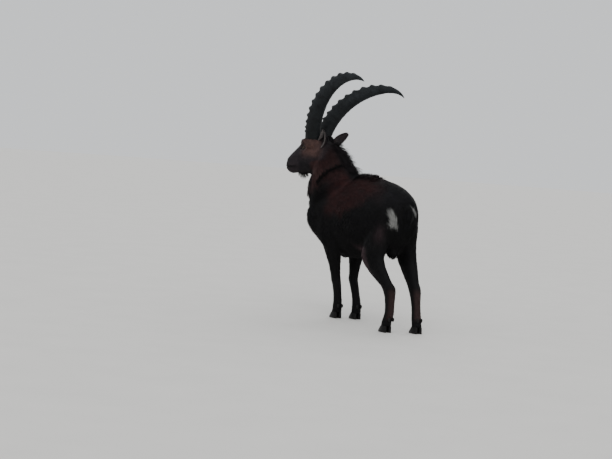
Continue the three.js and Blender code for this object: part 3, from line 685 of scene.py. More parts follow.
def neck_markings(colour, points, forward, up):
    """A brown neck, paler at the throat, with a dark nape, painted shade along the fold and a dark shoulder below it.
    """
    shoulder = step(0.68, 0.78, forward) * step(0.92, 0.86, up)
    colour = mixed(colour, linear(FLANK), 0.9 * shoulder)
    neck = step(0.86, 0.92, up + 0.5 * (forward - 0.75)) * step(0.62, 0.68, forward)
    colour = mixed(colour, linear(NECK), neck)
    throat = np.exp(-(((forward - 0.835) / 0.05) ** 2 + ((up - 0.93) / 0.07) ** 2))
    band = step(0.835, 0.875, forward) * step(0.78, 0.85, up) * step(1.0, 0.94, up)
    colour = mixed(colour, linear(THROAT), np.maximum(0.8 * throat, 0.7 * band))
    crown = step(1.03, 1.09, up + 0.03 * noise(points, 0.05, 14)) * step(0.62, 0.68, forward)
    nape = step(0.075, 0.03, crest_distance(points))
    colour = mixed(colour, linear(NAPE_TONE), np.maximum(0.75 * crown, 0.85 * nape))
    # painted shade: a near-black band along the neck's fold, where the crease lies in shadow
    return mixed(colour, linear(SHADED), 0.97 * step(0.026, 0.010, np.abs(fold_distance(points) + 0.004)))


def rear_markings(colour, out, forward, left, up, height):
    """Near-black legs, painted shade under and between the buttocks, a greyer front of the thigh and browner backs of
    the cannons.
    """
    colour = mixed(colour, linear(LEG), step(0.56, 0.46, height))
    down = (0.52 - up) / 0.14
    middle, half = 0.345 - 0.14 * down, 0.11 - 0.07 * np.clip(down, 0, 1)
    thigh = step(1.2, 0.4, np.abs(forward - middle) / half) * step(-0.05, 0.2, down) * step(1.35, 0.7, down)
    colour = mixed(colour, linear(THIGH), 0.9 * thigh * step(0.04, 0.10, np.abs(left)))
    streak = np.exp(-(((forward - 0.13) / 0.045) ** 2 + ((up - 0.60) / 0.05) ** 2)) * step(0.09, 0.12, left)
    colour = mixed(colour, linear(THIGH), 0.55 * streak)
    # painted shade in the crease under the buttocks and in the cleft between them, below the tail
    buttock = step(0.12, 0.06, forward) * np.exp(-((up - 0.60) / 0.045) ** 2)
    cleft_shade = step(0.07, 0.03, forward) * step(0.06, 0.03, np.abs(left)) * step(0.84, 0.78, up)
    colour = mixed(colour, linear(SHADED), 0.8 * np.maximum(buttock, cleft_shade))
    cannon = step(0.29, 0.24, up) * step(0.07, 0.10, up) * step(0.25, 0.0, forward)
    return mixed(colour, linear(CANNON_BACK), 0.65 * cannon * step(0.1, 0.8, out[:, 1]))


def rump_patch(forward, left, up, points):
    """Whitish streaky hair: a patch left of the tail and a narrow band that curves down right of it."""
    ragged = 0.5 * noise(points * np.array([1, 1, 0.25]), 0.008, 8) + 0.3 * noise(points, 0.03, 9)
    lower = np.clip((0.757 - up) / 0.09, 0, 1)
    across = np.abs(left - 0.103 + 0.016 * lower) / (0.014 + 0.006 * lower)
    ends = np.maximum((up - 0.752) / 0.014, (0.660 - up) / 0.014)
    mask = step(1.35, 0.65, across + ragged) * step(1.0, -0.4, ends + 1.2 * ragged)
    fall = np.maximum(0, 0.79 - up)
    far = np.abs(-left - 0.064 * (1 - np.exp(-fall / 0.018))) / (0.009 + 0.1 * np.minimum(fall, 0.05))
    ends = np.maximum((up - 0.79) / 0.012, (0.735 - up) / 0.014)
    other = step(1.35, 0.65, far + ragged) * step(1.0, -0.4, ends + 1.2 * ragged) * step(0.004, 0.02, -left)
    return 0.9 * np.maximum(mask, other) * step(0.105, 0.075, forward)


# Paths on the neck: forward, left, up in the trunk's directions
FOLD = ((0.800, 0.195, 0.870), (0.770, 0.180, 0.915), (0.738, 0.161, 0.947), (0.712, 0.125, 0.970),
        (0.695, 0.095, 0.985))
NAPE = ((0.600, 0.008, 0.920), (0.652, 0.020, 0.962), (0.695, 0.038, 1.009), (0.733, 0.054, 1.059),
        (0.766, 0.070, 1.108), (0.800, 0.090, 1.138))


def fold_distance(points):
    """How far points lie from the left side's neck fold, above 0 below it."""
    return path_distance(points, FOLD)[1]


def crest_distance(points):
    """How far points lie from the nape's line, which runs from the withers to the crown."""
    return path_distance(points, NAPE)[0]


def head_markings(colour, points):
    """A tan patch round the eye and cheek, painted shade close round each eye, a greyish muzzle, and a dark jaw and
    crown.
    """
    a, side, rise = in_head(points)
    rear = -0.11 + 0.10 * step(-0.09, -0.14, rise)
    near = np.linalg.norm(points - HEAD_AT - 0.03 * HEAD_FORWARD, axis=1)
    on = step(-0.02, 0.02, a - rear) * step(0.34, 0.25, near)
    colour = mixed(colour, linear(MUZZLE), 0.9 * on)
    jaw = on * step(-0.11, -0.15, rise) * step(0.12, 0.07, a)
    colour = mixed(colour, linear(JAW), 0.85 * jaw)
    dapple = 1 + 0.25 * noise(points, 0.014, 15)
    cheek = np.exp(-(((a + 0.005) / 0.075) ** 4 + ((rise + 0.036) / 0.062) ** 4))
    colour = mixed(colour, linear(CHEEK), np.clip(0.85 * on * cheek * dapple, 0, 1))
    crown = step(-0.01, 0.02, rise) * step(-0.02, -0.06, a) * step(-0.22, -0.12, a)
    colour = mixed(colour, linear(DARK), 0.8 * crown * on)
    # painted shade: a darker ring close round each eye, in its socket
    colour = mixed(colour, linear(JAW), 0.7 * step(0.026, 0.018, eye_distance(points)))
    colour = mixed(colour, linear(NOSE), 0.8 * on * step(0.155, 0.185, a))
    lips = on * step(0.012, 0.004, np.abs(rise - mouth_line(a))) * step(0.1, 0.12, a)
    colour = mixed(colour, linear(LIPS), 0.75 * lips)
    bridge = on * np.exp(-(side / 0.02) ** 2) * step(0.06, 0.1, a) * step(0.19, 0.16, a)
    return mixed(colour, linear(BRIDGE), 0.6 * bridge)


# The head's finer forms, in its own directions
MOUTH_FRONT = (0.199, -0.1735)   # forward, up of the lips at the nose
MOUTH_MIDDLE = (0.150, -0.1700)
MOUTH_CORNER = (0.112, -0.1660)
GAZE = (0.24, 0.96, 0.06)        # where the left eye looks: forward, left, up
LID_REACH = (math.radians(60), math.radians(31), math.radians(24))  # corner, upper, lower
LID_NEAR = 0.045                 # the skin is drawn into lids this near to an eye
WRINKLE_SPACING, WRINKLE_DEPTH = 0.026, 0.0016

# Hollows, and swellings where the depth is below 0: the place and the size, each forward, left and
# up, and the depth
HOLLOWS = (
    ((0.092, 0.034, -0.075), (0.030, 0.020, 0.018), 0.004),
    ((0.070, 0.062, -0.085), (0.035, 0.020, 0.010), -0.004),
    ((0.020, 0.060, -0.078), (0.030, 0.020, 0.014), 0.003),
    ((0.055, 0.000, 0.000), (0.030, 0.016, 0.060), 0.003),
    ((0.135, 0.030, -0.148), (0.030, 0.020, 0.012), -0.003),
    ((0.183, 0.022, -0.121), (0.016, 0.010, 0.009), -0.003),
    ((0.150, 0.000, -0.196), (0.026, 0.018, 0.012), -0.003),
)
NOSTRIL = ((0.188, 0.0165, -0.136), (0.0085, 0.009, 0.0042), 0.009)


def mouth_line(a):
    """The height of the mouth's line, which rises a little towards its corner."""
    return np.interp(a, *zip(MOUTH_CORNER, MOUTH_MIDDLE, MOUTH_FRONT))


def eye_ways(hand):
    """An eye's outward, forward and upward directions."""
    sign = 1 if hand == "left" else -1
    gaze = unit(GAZE[0] * HEAD_FORWARD + GAZE[1] * sign * HEAD_LEFT + GAZE[2] * HEAD_UP)
    along = unit(HEAD_FORWARD - gaze * (HEAD_FORWARD @ gaze))
    along = unit(along - 0.22 * HEAD_UP)
    upward = unit(np.cross(gaze, along))
    return gaze, along, upward * np.sign(upward @ HEAD_UP)


def lid_gap(x):
    """How far the lids part above and below, in radians, along the eye."""
    corner, upper, lower = LID_REACH
    bow = np.clip(1 - (x / corner) ** 2, 0, 1)
    return upper * bow ** 0.75, lower * bow ** 0.85


def shape_lids(points):
    """Draws the skin round each eyeball into lids."""
    for hand, middle in eyes.items():
        gaze, along, upward = eye_ways(hand)
        away = points - middle
        far = np.linalg.norm(away, axis=1)
        way = away / far[:, None]
        near = (far < LID_NEAR) & (way @ gaze > 0.05)
        x = np.arctan2(way[near] @ along, way[near] @ gaze)
        y = np.arctan2(way[near] @ upward, way[near] @ gaze)
        above, below = lid_gap(x)
        limit = np.where(y > 0, above, below)
        beyond = np.hypot(np.maximum(np.abs(x) - LID_REACH[0], 0), np.maximum(np.abs(y) - limit, 0))
        inside = (np.abs(x) < LID_REACH[0]) & (np.abs(y) < limit)
        gap = np.where(inside, -1, beyond) * EYE_RADIUS
        lid = EYE_RADIUS + 0.0012 + 0.0012 * step(0.0, 0.004, gap)
        crease = -0.0010 * np.exp(-((gap - 0.0065) / 0.0016) ** 2)
        blend = step(0.004, 0.013, gap)
        reach = (lid + crease) * (1 - blend) + np.maximum(far[near], lid) * blend
        reach = np.where(inside, EYE_RADIUS - 0.0025, reach)
        points[near] = middle + way[near] * reach[:, None]
    return points


def dent(points, out, place, size, depth):
    """Pushes the surface in, or out where depth is below 0, round a place on the head."""
    a, side, rise = in_head(points)
    away = ((a - place[0]) / size[0]) ** 2 + ((rise - place[2]) / size[2]) ** 2
    for sign in (1, -1):
        share = np.exp(-(away + ((side - sign * place[1]) / size[1]) ** 2))
        points = points - out * (depth * share)[:, None]
    return points


def shape_head(points, faces):
    """Brow, cheek, muzzle, nostrils, lips and jaw on the refined head."""
    out, _ = facing(points, faces)
    for hollow in HOLLOWS:
        points = dent(points, out, *hollow)
    out, _ = facing(points, faces)
    points = dent(points, out, *NOSTRIL)
    a, side, rise = in_head(points)
    gap = np.abs(rise - mouth_line(a))
    on = step(MOUTH_CORNER[0] - 0.006, MOUTH_CORNER[0] + 0.006, a)
    groove = 0.0042 * np.exp(-(gap / 0.0019) ** 2) - 0.0016 * np.exp(-((gap - 0.0065) / 0.0035) ** 2)
    points = points - out * (groove * on)[:, None]
    cleft = np.exp(-(side / 0.0018) ** 2) * step(0.181, 0.190, a) * step(-0.175, -0.170, rise)
    points = points - out * (0.0022 * cleft * step(-0.134, -0.140, rise))[:, None]
    return shape_lids(points)


def shape_folds(points, faces):
    """The neck's crease with a roll above it, and faint slanting wrinkles on the flanks."""
    out, _ = facing(points, faces)
    gap = fold_distance(points)
    crease = 0.006 * np.exp(-((gap - 0.004) / 0.007) ** 2) - 0.005 * np.exp(-((gap + 0.016) / 0.012) ** 2)
    forward, left, up = in_trunk(points)
    middle = ((forward - 0.50) / 0.11) ** 2 + ((up - 0.66) / 0.10) ** 2
    slant = (forward + 0.9 * up + 0.006 * noise(points, 0.05, 17)) / WRINKLE_SPACING
    wrinkle = WRINKLE_DEPTH * np.sin(2 * math.pi * slant) * np.exp(-middle) * step(0.1, 0.15, np.abs(left))
    return points - out * (crease + wrinkle)[:, None]


# Skin
def near_head(points, grow):
    """Which points lie on the head, further down the neck as grow rises."""
    a, _, rise = in_head(points)
    edge = -0.105 + np.clip(-rise, 0, 0.19) * 0.5
    return (a > edge - grow) & (np.linalg.norm(points - HEAD_AT, axis=1) < 0.34 + grow)


def fine_places(points):
    """Which points lie near an eye, a nostril or the mouth."""
    a, _, rise = in_head(points)
    mouth = (a > MOUTH_CORNER[0] - 0.012) & (np.abs(rise - mouth_line(a)) < 0.014)
    nose = (a > 0.163) & (rise > -0.17) & (rise < -0.113)
    return mouth | nose | (eye_distance(points) < 0.030)


def refine(bm, choose):
    """Halves the edges where choose says so."""
    points = np.array([v.co for v in bm.verts])
    picked = choose(points)
    edges = [e for e in bm.edges if picked[e.verts[0].index] and picked[e.verts[1].index]]
    bmesh.ops.subdivide_edges(bm, edges=edges, cuts=1, use_grid_fill=True)
    bm.verts.index_update()


def settle(points, field, level, share, out):
    """Moves points along their outward direction onto a level of a field."""
    for _ in range(2):
        slope = field.slope(points)
        steep = np.maximum((slope * out).sum(1), 0.4)
        points = points - out * (np.clip((field.at(points) - level) / steep, -0.006, 0.006) * share)[:, None]
    return points


def region_weights(points, edges):
    """How much each point belongs to each region, by the nearest solid and then evened out."""
    corners, faces, owner, start = [], [], [], 0
    for k, nodes in enumerate(REGIONS.values()):
        for node in nodes:
            p, f = soup(node)
            corners.append(p)
            faces.append(f.astype(np.int64) + start)
            owner.append(np.full(len(f), k))
            start += len(p)
    tree = BVHTree.FromPolygons(np.concatenate(corners).tolist(), np.concatenate(faces).tolist())
    owner = np.concatenate(owner)
    nearest = np.array([tree.find_nearest(Vector(p))[2] for p in points])
    weights = np.zeros((len(points), len(NAMES)))
    weights[np.arange(len(points)), owner[nearest]] = 1
    return spread(weights, edges, 24)


def by_region(weights, key):
    return weights @ np.array([COAT[name][key] for name in NAMES])


def make_skin():
    """One closed skin over all flesh, ending inside the claws."""
    body = Field([*FLESH, "eye_left", "eye_right", *CLAWS], BODY_VOXEL, OPENING, body_blurs)
    head = Field(["head", "neck", "eye_left", "eye_right"], HEAD_VOXEL, HEAD_OPENING, head_blurs)
    points, quads = body.surface(body.values, -CORE_DEPTH)
    bm = bmesh.new()
    bm.from_mesh(mesh_of("rough", points, quads))
    low = [v for v in bm.verts if v.co.z < HOOF_CUT]
    bmesh.ops.delete(bm, geom=low, context="VERTS")
    bm.verts.index_update()
    refine(bm, lambda p: near_head(p, 0.02))
    bmesh.ops.triangulate(bm, faces=[f for f in bm.faces if len(f.verts) > 4])
    refine(bm, fine_places)
    bmesh.ops.triangulate(bm, faces=bm.faces[:])
    mesh = bpy.data.meshes.new("skin")
    bm.to_mesh(mesh)
    bm.free()
    points, faces = corners_of(mesh)
    bpy.data.meshes.remove(mesh)
    edges = neighbours(faces)
    out, _ = facing(points, faces)
    if (out * body.slope(points)).sum(1).mean() < 0:
        faces = faces[:, ::-1].copy()
        out = -out
    share = spread(near_head(points, 0.0).astype(float), edges, 30)
    points = settle(points, body, -CORE_DEPTH, 1 - share, out)
    points = settle(points, head, -CORE_DEPTH, share, out)
    smoothed = spread(points, edges, 3)
    points = mixed(points, smoothed, 0.6 * (1 - 0.5 * share))
    weights = region_weights(points, edges)
    out, _ = facing(points, faces)
    out = unit(spread(out, edges, 3))
    depth = spread(by_region(weights, "depth") - CORE_DEPTH, edges, 10)
    points = points - out * depth[:, None]
    points = shape_head(shape_folds(points, faces), faces)
    return points, faces, edges, weights


# How the coat lies
def lie_of(points, out, weights, edges):
    """The direction in which hair lies, smooth over the skin and flat along it."""
    forward, _, up = in_trunk(points)
    a, side, rise = in_head(points)
    back, down = np.array([0, 1, 0]), np.array([0, 0, -1])
    low = step(0.72, 0.5, up)
    breast = step(0.82, 0.96, forward)
    rump = step(0.1, 0.0, forward)
    fall = 0.3 * np.abs(out[:, 0]) + 1.1 * low + 1.4 * breast + 1.5 * rump
    run = 1 - 0.75 * low - 0.8 * breast - 0.5 * rump
    torso = back * run[:, None] + down * fall[:, None]
    throat = step(0.0, 0.8, -out[:, 1])
    neck = np.array([-0.25, 0.62, -0.62]) + down * (0.7 * throat)[:, None]
    cheek = step(0.2, 0.8, np.abs(side) / 0.06) * 0.35
    head = -HEAD_FORWARD + HEAD_UP * (-cheek)[:, None]
    head = head + HEAD_UP * (0.5 * step(0.04, 0.08, a) * step(-0.1, -0.04, rise))[:, None]
    head = head + HEAD_UP * (1.3 * step(-0.08, -0.03, a) * step(-0.03, 0.0, rise))[:, None]
    leg, tail = down + 0.12 * back, down + 0.1 * back
    ways = {"torso": torso, "neck": neck, "head": head, "tail": tail, "upper": leg, "lower": leg}
    total = sum(unit(ways[name]) * weights[:, [k]] for k, name in enumerate(NAMES))
    total = unit(spread(unit(total), edges, 50))
    swirl = np.stack([noise(points, 0.06, 40 + k) for k in range(3)], axis=1)
    return on_surface(total + 0.16 * swirl, out)


# Tufts
class Tufts:
    """Roots of tufts on the skin, with what each one needs to grow."""

    def __init__(self, rng, at, out, lie, length, width, lift, colour):
        self.rng = rng
        self.at, self.out, self.lie = at, out, lie
        self.length, self.width, self.lift, self.colour = length, width, lift, colour

    def only(self, picked):
        parts = (self.at, self.out, self.lie, self.length, self.width, self.lift, self.colour)
        return Tufts(self.rng, *(part[picked] for part in parts))

    def __len__(self):
        return len(self.at)


def vary(rng, values, share):
    return values * (1 + share * rng.uniform(-1, 1, len(values)))


def sow(skin, density, rng):
    """Random places on the skin's faces, so many to a square metre at each corner."""
    points, faces, values = skin
    _, area = facing(points, faces)
    wanted = area * density[faces].mean(1)
    total = int(wanted.sum())
    picked = np.searchsorted(np.cumsum(wanted), rng.uniform(0, wanted.sum(), total))
    picked = np.minimum(picked, len(faces) - 1)
    r = np.sqrt(rng.uniform(0, 1, (total, 1)))
    s = rng.uniform(0, 1, (total, 1))
    shares = np.concatenate([1 - r, r * (1 - s), r * s], axis=1)
    corners = faces[picked]
    return [np.einsum("nk,nkc->nc", shares, v.reshape(len(points), -1)[corners]) for v in (points, *values)]


def clumped(tufts, size, share, rng):
    """Draws each tuft's tip towards that of a leading tuft near it."""
    leaders = rng.permutation(len(tufts))[: max(8, int(len(tufts) / size))]
    tree = kdtree.KDTree(len(leaders))
    for k, at in enumerate(tufts.at[leaders]):
        tree.insert(at, k)
    tree.balance()
    own = leaders[[tree.find(at)[1] for at in tufts.at]]
    tips = tufts.at + tufts.lie * tufts.length[:, None]
    pull = (tips[own] - tips) * share
    most = 0.35 * tufts.length[:, None]
    size_of = np.linalg.norm(pull, axis=1, keepdims=True)
    pull = pull * np.minimum(1, most / np.maximum(size_of, 1e-9))
    tone = rng.uniform(0.86, 1.16, len(tufts))[own]
    lift = rng.uniform(-4, 5, len(tufts))[own]
    return pull, tone, lift


def tuft_faces(rings):
    """The triangles of one tuft: rings of three corners and a tip."""
    faces = []
    for k in range(rings - 1):
        for corner in range(3):
            a, b = 3 * k + corner, 3 * k + (corner + 1) % 3
            faces += [(b, a, b + 3), (b + 3, a, a + 3)]
    last = 3 * (rings - 1)
    return np.array(faces + [(last + (corner + 1) % 3, last + corner, last + 3) for corner in range(3)])


def grow(name, tufts, material, slot, rings=(0, 0.5), droop=0.06, hold=0.62, clump=(9, 0.5)):
    """Joins tufts into one mesh: each a flat tapered lock of three sides that ends in a point."""
    count, per = len(tufts), 3 * len(rings) + 1
    pull, tone, more = clumped(tufts, *clump, tufts.rng)
    lift = np.radians(tufts.lift + more)
    side = unit(np.cross(tufts.lie, tufts.out))
    points, normals, colours = (np.empty((count, per, 3)) for _ in range(3))
    sheet = np.empty((count, per, 2))
    root = unwrap(tufts.at, tufts.out, box_of(tufts.at))
    sink = 0.08 * tufts.length + 0.0006
    for k, t in enumerate([*rings, 1.0]):
        run = tufts.length * t * np.cos(lift)
        rise = tufts.length * np.sin(lift) * t * (1.25 - hold * t)
        line = tufts.at + tufts.lie * run[:, None] + tufts.out * (rise - sink * (1 - t))[:, None]
        line = line + pull * t * t
        line[:, 2] -= droop * tufts.length * t * t
        shade = (0.78 + 0.3 * t) * tone
        tip = k == len(rings)
        thick = tufts.width * (1 - 0.55 * t * t) / 2
        for corner in range(1 if tip else 3):
            angle = math.pi / 2 + corner * 2 * math.pi / 3
            across = side * math.cos(angle) + tufts.out * (TUFT_FLATNESS * math.sin(angle))
            n = 3 * k + corner
            points[:, n] = line if tip else line + across * thick[:, None]
            normals[:, n] = tufts.out if tip else unit(0.9 * tufts.out + 0.55 * across)
            colours[:, n] = tufts.colour * shade[:, None]
            sheet[:, n, 0] = root[:, 0] + 0.0015 * math.cos(angle)
            sheet[:, n, 1] = root[:, 1] + 0.003 * (t - 0.5)
    faces = (np.arange(count)[:, None, None] * per + tuft_faces(len(rings))).reshape(-1, 3)
    mesh = mesh_of(name, points.reshape(-1, 3), faces)
    colour_corners(mesh, np.clip(colours, 0, 1).reshape(-1, 3))
    bake_map(mesh, sheet.reshape(-1, 2)[faces.ravel()])
    piece(name, mesh, material, slot)
    mesh.normals_split_custom_set_from_vertices(normals.reshape(-1, 3))


def coat_name(owner, place, half):
    """The name of the piece that a tuft of the body's coat belongs to."""
    if owner == "tail":
        return "coat_tail"
    return f"coat_{owner}_{half}" if owner in ("head", "neck") else f"coat_{owner}_{place}_{half}"


def body_coat(skin, lie, weights, material, dark):
    """The whole animal's hair, cut into pieces by place."""
    points, faces = skin
    rng = np.random.default_rng(11)
    out, _ = facing(points, faces)
    seam = weights[:, NAMES.index("neck")] * weights[:, NAMES.index("torso")]
    density = by_region(weights, "density") * BODY_SHARE * hair_share(points) * (1 + 4 * seam)
    at, out, lie, weights = sow((points, faces, (out, lie, weights)), density, rng)
    out, lie = unit(out), unit(lie)
    forward, left, _ = in_trunk(at)
    length = vary(rng, by_region(weights, "length") * length_share(at, out), 0.25)
    length *= 1 + 0.18 * noise(at, 0.05, 5)
    width = vary(rng, by_region(weights, "width"), 0.25) * BODY_WIDER
    lift = by_region(weights, "lift") + 4 * rng.uniform(-1, 1, len(at))
    colour = markings(at, out) * rng.uniform(0.85, 1.15, (len(at), 1))
    lie = on_surface(unit(lie + 0.10 * rng.normal(size=lie.shape)), out)
    tufts = Tufts(rng, at, out, lie, length, width, lift, colour)
    owner = np.array(NAMES)[weights.argmax(1)]
    half = np.where(np.where(owner == "head", in_head(at)[1], left) > 0, "left", "right")
    place = np.where(forward > FRONT_FROM, "front", np.where(forward > MIDDLE_FROM, "middle", "rear"))
    label = np.array([coat_name(*parts) for parts in zip(owner, place, half)])
    for name in sorted(set(label.tolist())):
        finish, slot = (dark, "dark_coat") if "tail" in name or "lower" in name else (material, "coat")
        grow(name, tufts.only(label == name), finish, slot)


def hair_share(points):
    """Less hair on the nose and round the eyes."""
    a, _, rise = in_head(points)
    share = 1 - 0.8 * (step(0.183, 0.195, a) * step(-0.175, -0.16, rise))
    return share * step(EYE_RADIUS + 0.002, EYE_RADIUS + 0.009, eye_distance(points))


def length_share(points, out):
    """Longer hair on the chest, belly and crown, shorter on the muzzle and the feet."""
    forward, _, up = in_trunk(points)
    a, _, rise = in_head(points)
    share = 1 + 0.35 * step(0.85, 0.97, forward) * step(0.8, 0.7, up)
    share = share + 0.25 * step(0.3, 0.9, -out[:, 2]) * step(0.38, 0.42, up)
    share = np.where(up < 0.3, 0.85, share)
    muzzle = step(0.07, 0.15, a)
    crown = step(-0.03, 0.01, rise) * step(0.09, 0.04, a)
    return np.where(near_head(points, 0.0), 1 - 0.5 * muzzle + 0.9 * crown, share)


# Long locks: tufts to a square metre, seed, then least and most length, width, lift in degrees and
# brightness, and how they grow. The beard's length is in shares of its swell.
LOCKS = {
    "mane": dict(
        density=60000, seed=21, length=(0.045, 0.090), width=(0.0024, 0.0042), lift=(14, 46),
        bright=(0.6, 1.5), how=dict(droop=0.08, hold=0.4, clump=(22, 0.85))),
    "withers_crest": dict(
        density=50000, seed=23, length=(0.03, 0.055), width=(0.0022, 0.0038), lift=(18, 42),
        bright=(0.6, 1.5), how=dict(droop=0.08, hold=0.45, clump=(20, 0.8))),
    "beard": dict(
        density=80000, seed=31, length=(0.5, 1.2), width=(0.0016, 0.0025), lift=(54, 72),
        bright=(0.6, 1.3), how=dict(droop=0.25, hold=0.25, clump=(14, 0.85))),
    "tail_brush": dict(
        density=90000, seed=41, length=(0.045, 0.075), width=(0.0022, 0.0036), lift=(4, 13),
        bright=(0.7, 1.5), how=dict(droop=0.02, hold=0.6, clump=(12, 0.5))),
}
BEARD_LEAST, BEARD_SWELL = 0.012, 0.018
MANE_RISE = (0, 0.1375, 0.125)
TAIL_FALL = (0, 0.03, -1.0)


def locks(name, skin, on, finish, push, follow=1, tone=None):
    """Long locks on the part of the skin that on picks, lying with the coat or only along push."""
    spec = LOCKS[name]
    rng = np.random.default_rng(spec["seed"])
    at, out, lie = sow(skin, spec["density"] * on * LOCK_SHARE, rng)
    out, lie = unit(out), unit(lie)
    length, width, lift = (rng.uniform(*spec[key], len(at)) for key in ("length", "width", "lift"))
    if name == "beard":
        swell = np.exp(-((in_head(at)[0] - 0.07) / 0.026) ** 2)
        length = BEARD_LEAST + BEARD_SWELL * swell * length
    colour = markings(at, out) if tone is None else linear(tone)
    colour = colour * rng.uniform(*spec["bright"], (len(at), 1))
    lie = on_surface(follow * lie + np.array(push), out)
    tufts = Tufts(np.random.default_rng(spec["seed"] + 1), at, out, lie, length, width, lift, colour)
    grow(name, tufts, *finish, rings=(0, 0.3, 0.68), **spec["how"])


def long_locks(skin, weights, coat, dark):
    """The mane, the crest over the withers, the beard and the hair that hides the tail's end."""
    points, _, (out, _) = skin
    forward, left, up = in_trunk(points)
    a, side, _ = in_head(points)
    part = dict(zip(NAMES, weights.T))
    nape = step(0.045, 0.02, crest_distance(points)) * part["neck"] * step(0.635, 0.69, forward)
    locks("mane", skin, nape, (coat, "coat"), MANE_RISE)
    ridge = step(0.05, 0.02, np.abs(left - 0.012)) * step(0.86, 0.9, up)
    ridge = ridge * step(0.33, 0.42, forward) * step(0.62, 0.57, forward)
    ridge = ridge * part["torso"] * step(0.2, 0.6, out[:, 2])
    locks("withers_crest", skin, ridge, (coat, "coat"), (0, 0, 0))
    chin = step(0.022, 0.008, np.abs(side)) * step(0.034, 0.046, a) * step(0.112, 0.098, a)
    chin = chin * step(0.3, 0.7, -(out @ HEAD_UP))
    locks("beard", skin, chin, (coat, "coat"), -0.8 * HEAD_FORWARD - 0.4 * HEAD_UP, 0, BEARD)
    end = part["tail"] * step(0.775, 0.74, up)
    locks("tail_brush", skin, end, (dark, "dark_coat"), TAIL_FALL, 0, DARK)


# Horns along their middle lines, with angles in degrees. rise: from straight back at the base, turn:
# from base to tip, late: share of it held back, splay: outward at base and tip, hook and tuck: the
# tip's further bend down and in
HORNS = {
    "left": dict(length=0.745, rise=93.5, turn=119, late=0.27, splay=(14.5, 18.9), hook=5, tuck=3),
    "right": dict(length=0.758, rise=95.1, turn=114, late=0.17, splay=(16, 21.2), hook=29, tuck=18),
}
HOOK_FROM, TUCK_FROM = 0.75, 0.5
HORN_SUNK = 0.024
HORN_ROOT = (-0.002, 0.051, 0.004)
HORN_DEPTH, HORN_WIDTH, HORN_TAPER = 0.104, 0.076, (2.62, 0.94)
HORN_RINGS, HORN_SIDES = 330, 44
RIDGE_HEIGHT = 0.0006
KNOB_COUNT, KNOB_HEIGHT, KNOB_SPAN, KNOB_SPACING = 13, 0.0125, (0.085, 0.843), 1.26


def horn_line(horn, sign, pieces=400):
    """Points and headings along a horn's middle, in the head's forward, left and up."""
    s = np.arange(pieces + 1) / pieces
    hook = horn["hook"] * np.maximum(0, (s - HOOK_FROM) / (1 - HOOK_FROM)) ** 2
    tuck = horn["tuck"] * np.maximum(0, (s - TUCK_FROM) / (1 - TUCK_FROM)) ** 2
    rise = np.radians(horn["rise"] - horn["turn"] * (s + horn["late"] * (s * s - s)) - hook)
    splay = np.radians(np.interp(s, [0, 1], horn["splay"]) - tuck)
    heading = np.stack(
        [-np.cos(rise) * np.cos(splay), sign * np.sin(splay), np.sin(rise) * np.cos(splay)], axis=1)
    steps = heading[1:] * (horn["length"] / pieces)
    start = np.array([HORN_ROOT[0], sign * HORN_ROOT[1], HORN_ROOT[2]])
    return s, np.vstack([start, start + np.cumsum(steps, axis=0)]), heading


def knob_lift(s):
    """How far the front stands out along a horn, as shares of a full knob."""
    first, last = KNOB_SPAN
    places = first + (last - first) * (np.arange(KNOB_COUNT) / (KNOB_COUNT - 1)) ** KNOB_SPACING
    lift = np.zeros_like(s)
    for k, at in enumerate(places):
        room = at - places[k - 1] if k else places[1] - at
        height = min(1, 0.6 + k * 0.12, (KNOB_COUNT - k) * 0.3)
        bump = step(at - room * 0.40, at - room * 0.04, s) * step(at + room * 0.46, at - room * 0.06, s)
        lift = np.maximum(lift, height * bump)
    return lift


def make_horn(hand, material):
    """A horn with rounded knobs on its front, ridges that run round from them, and a worn tip."""
    horn = HORNS[hand]
    along, line, heading = horn_line(horn, 1 if hand == "left" else -1)
    s = np.concatenate([[-HORN_SUNK / horn["length"]], np.linspace(0, 1, HORN_RINGS)])
    middle = np.stack([np.interp(s, along, line[:, k]) for k in range(3)], axis=1)
    heading = unit(np.stack([np.interp(s, along, heading[:, k]) for k in range(3)], axis=1))
    middle[0] = middle[1] - heading[0] * HORN_SUNK
    left = np.array([0, 1.0, 0])
    across = unit(left - heading * (heading @ left)[:, None])
    front = unit(np.cross(across, heading))
    taper = (1 - np.maximum(0, s) ** HORN_TAPER[0]) ** HORN_TAPER[1] + 0.03
    taper = taper * (0.55 + 0.45 * step(-HORN_SUNK, 0.010, s * horn["length"]))
    t = (np.arange(HORN_SIDES) + 0.5) * 2 * math.pi / HORN_SIDES
    cos, sin = np.cos(t), np.sin(t)
    deep = np.sign(cos) * np.abs(cos) ** np.where(cos > 0, 0.8, 1.0) * HORN_DEPTH / 2
    wide = np.sign(sin) * np.abs(sin) ** np.where(cos > 0, 0.8, 1.15) * HORN_WIDTH / 2
    lift = knob_lift(s)[:, None]
    ease = np.minimum(1, taper / 0.4)[:, None]
    knob = lift * ease * np.maximum(0, cos) ** 0.9 * KNOB_HEIGHT
    ridge = lift * ease * RIDGE_HEIGHT * np.minimum(1, np.abs(sin) + 0.3)
    ahead = deep * taper[:, None] + knob + ridge * np.sign(cos)
    aside = wide * taper[:, None] + ridge * np.sign(sin)
    grid = middle[:, None] + front[:, None] * ahead[..., None] + across[:, None] * aside[..., None]
    grid = on_head(grid)
    flat = grid.reshape(-1, 3)
    rough = (0.0006 * noise(flat, 0.012, 6) + 0.0004 * noise(flat, 0.004, 7)).reshape(ahead.shape)
    outward = unit(grid - on_head(middle)[:, None])
    mesh = lofted(f"horn_fine_{hand}", grid + outward * (rough * ease)[..., None])
    attach(mesh, "along", "FLOAT", np.append(np.repeat(s, HORN_SIDES), [0, 1]))
    attach(mesh, "lift", "FLOAT", np.append((lift * np.maximum(0, cos) ** 1.2).ravel(), [0, 0]))
    piece(f"horn_fine_{hand}", mesh, material, "horn", [f"horn_{hand}"])


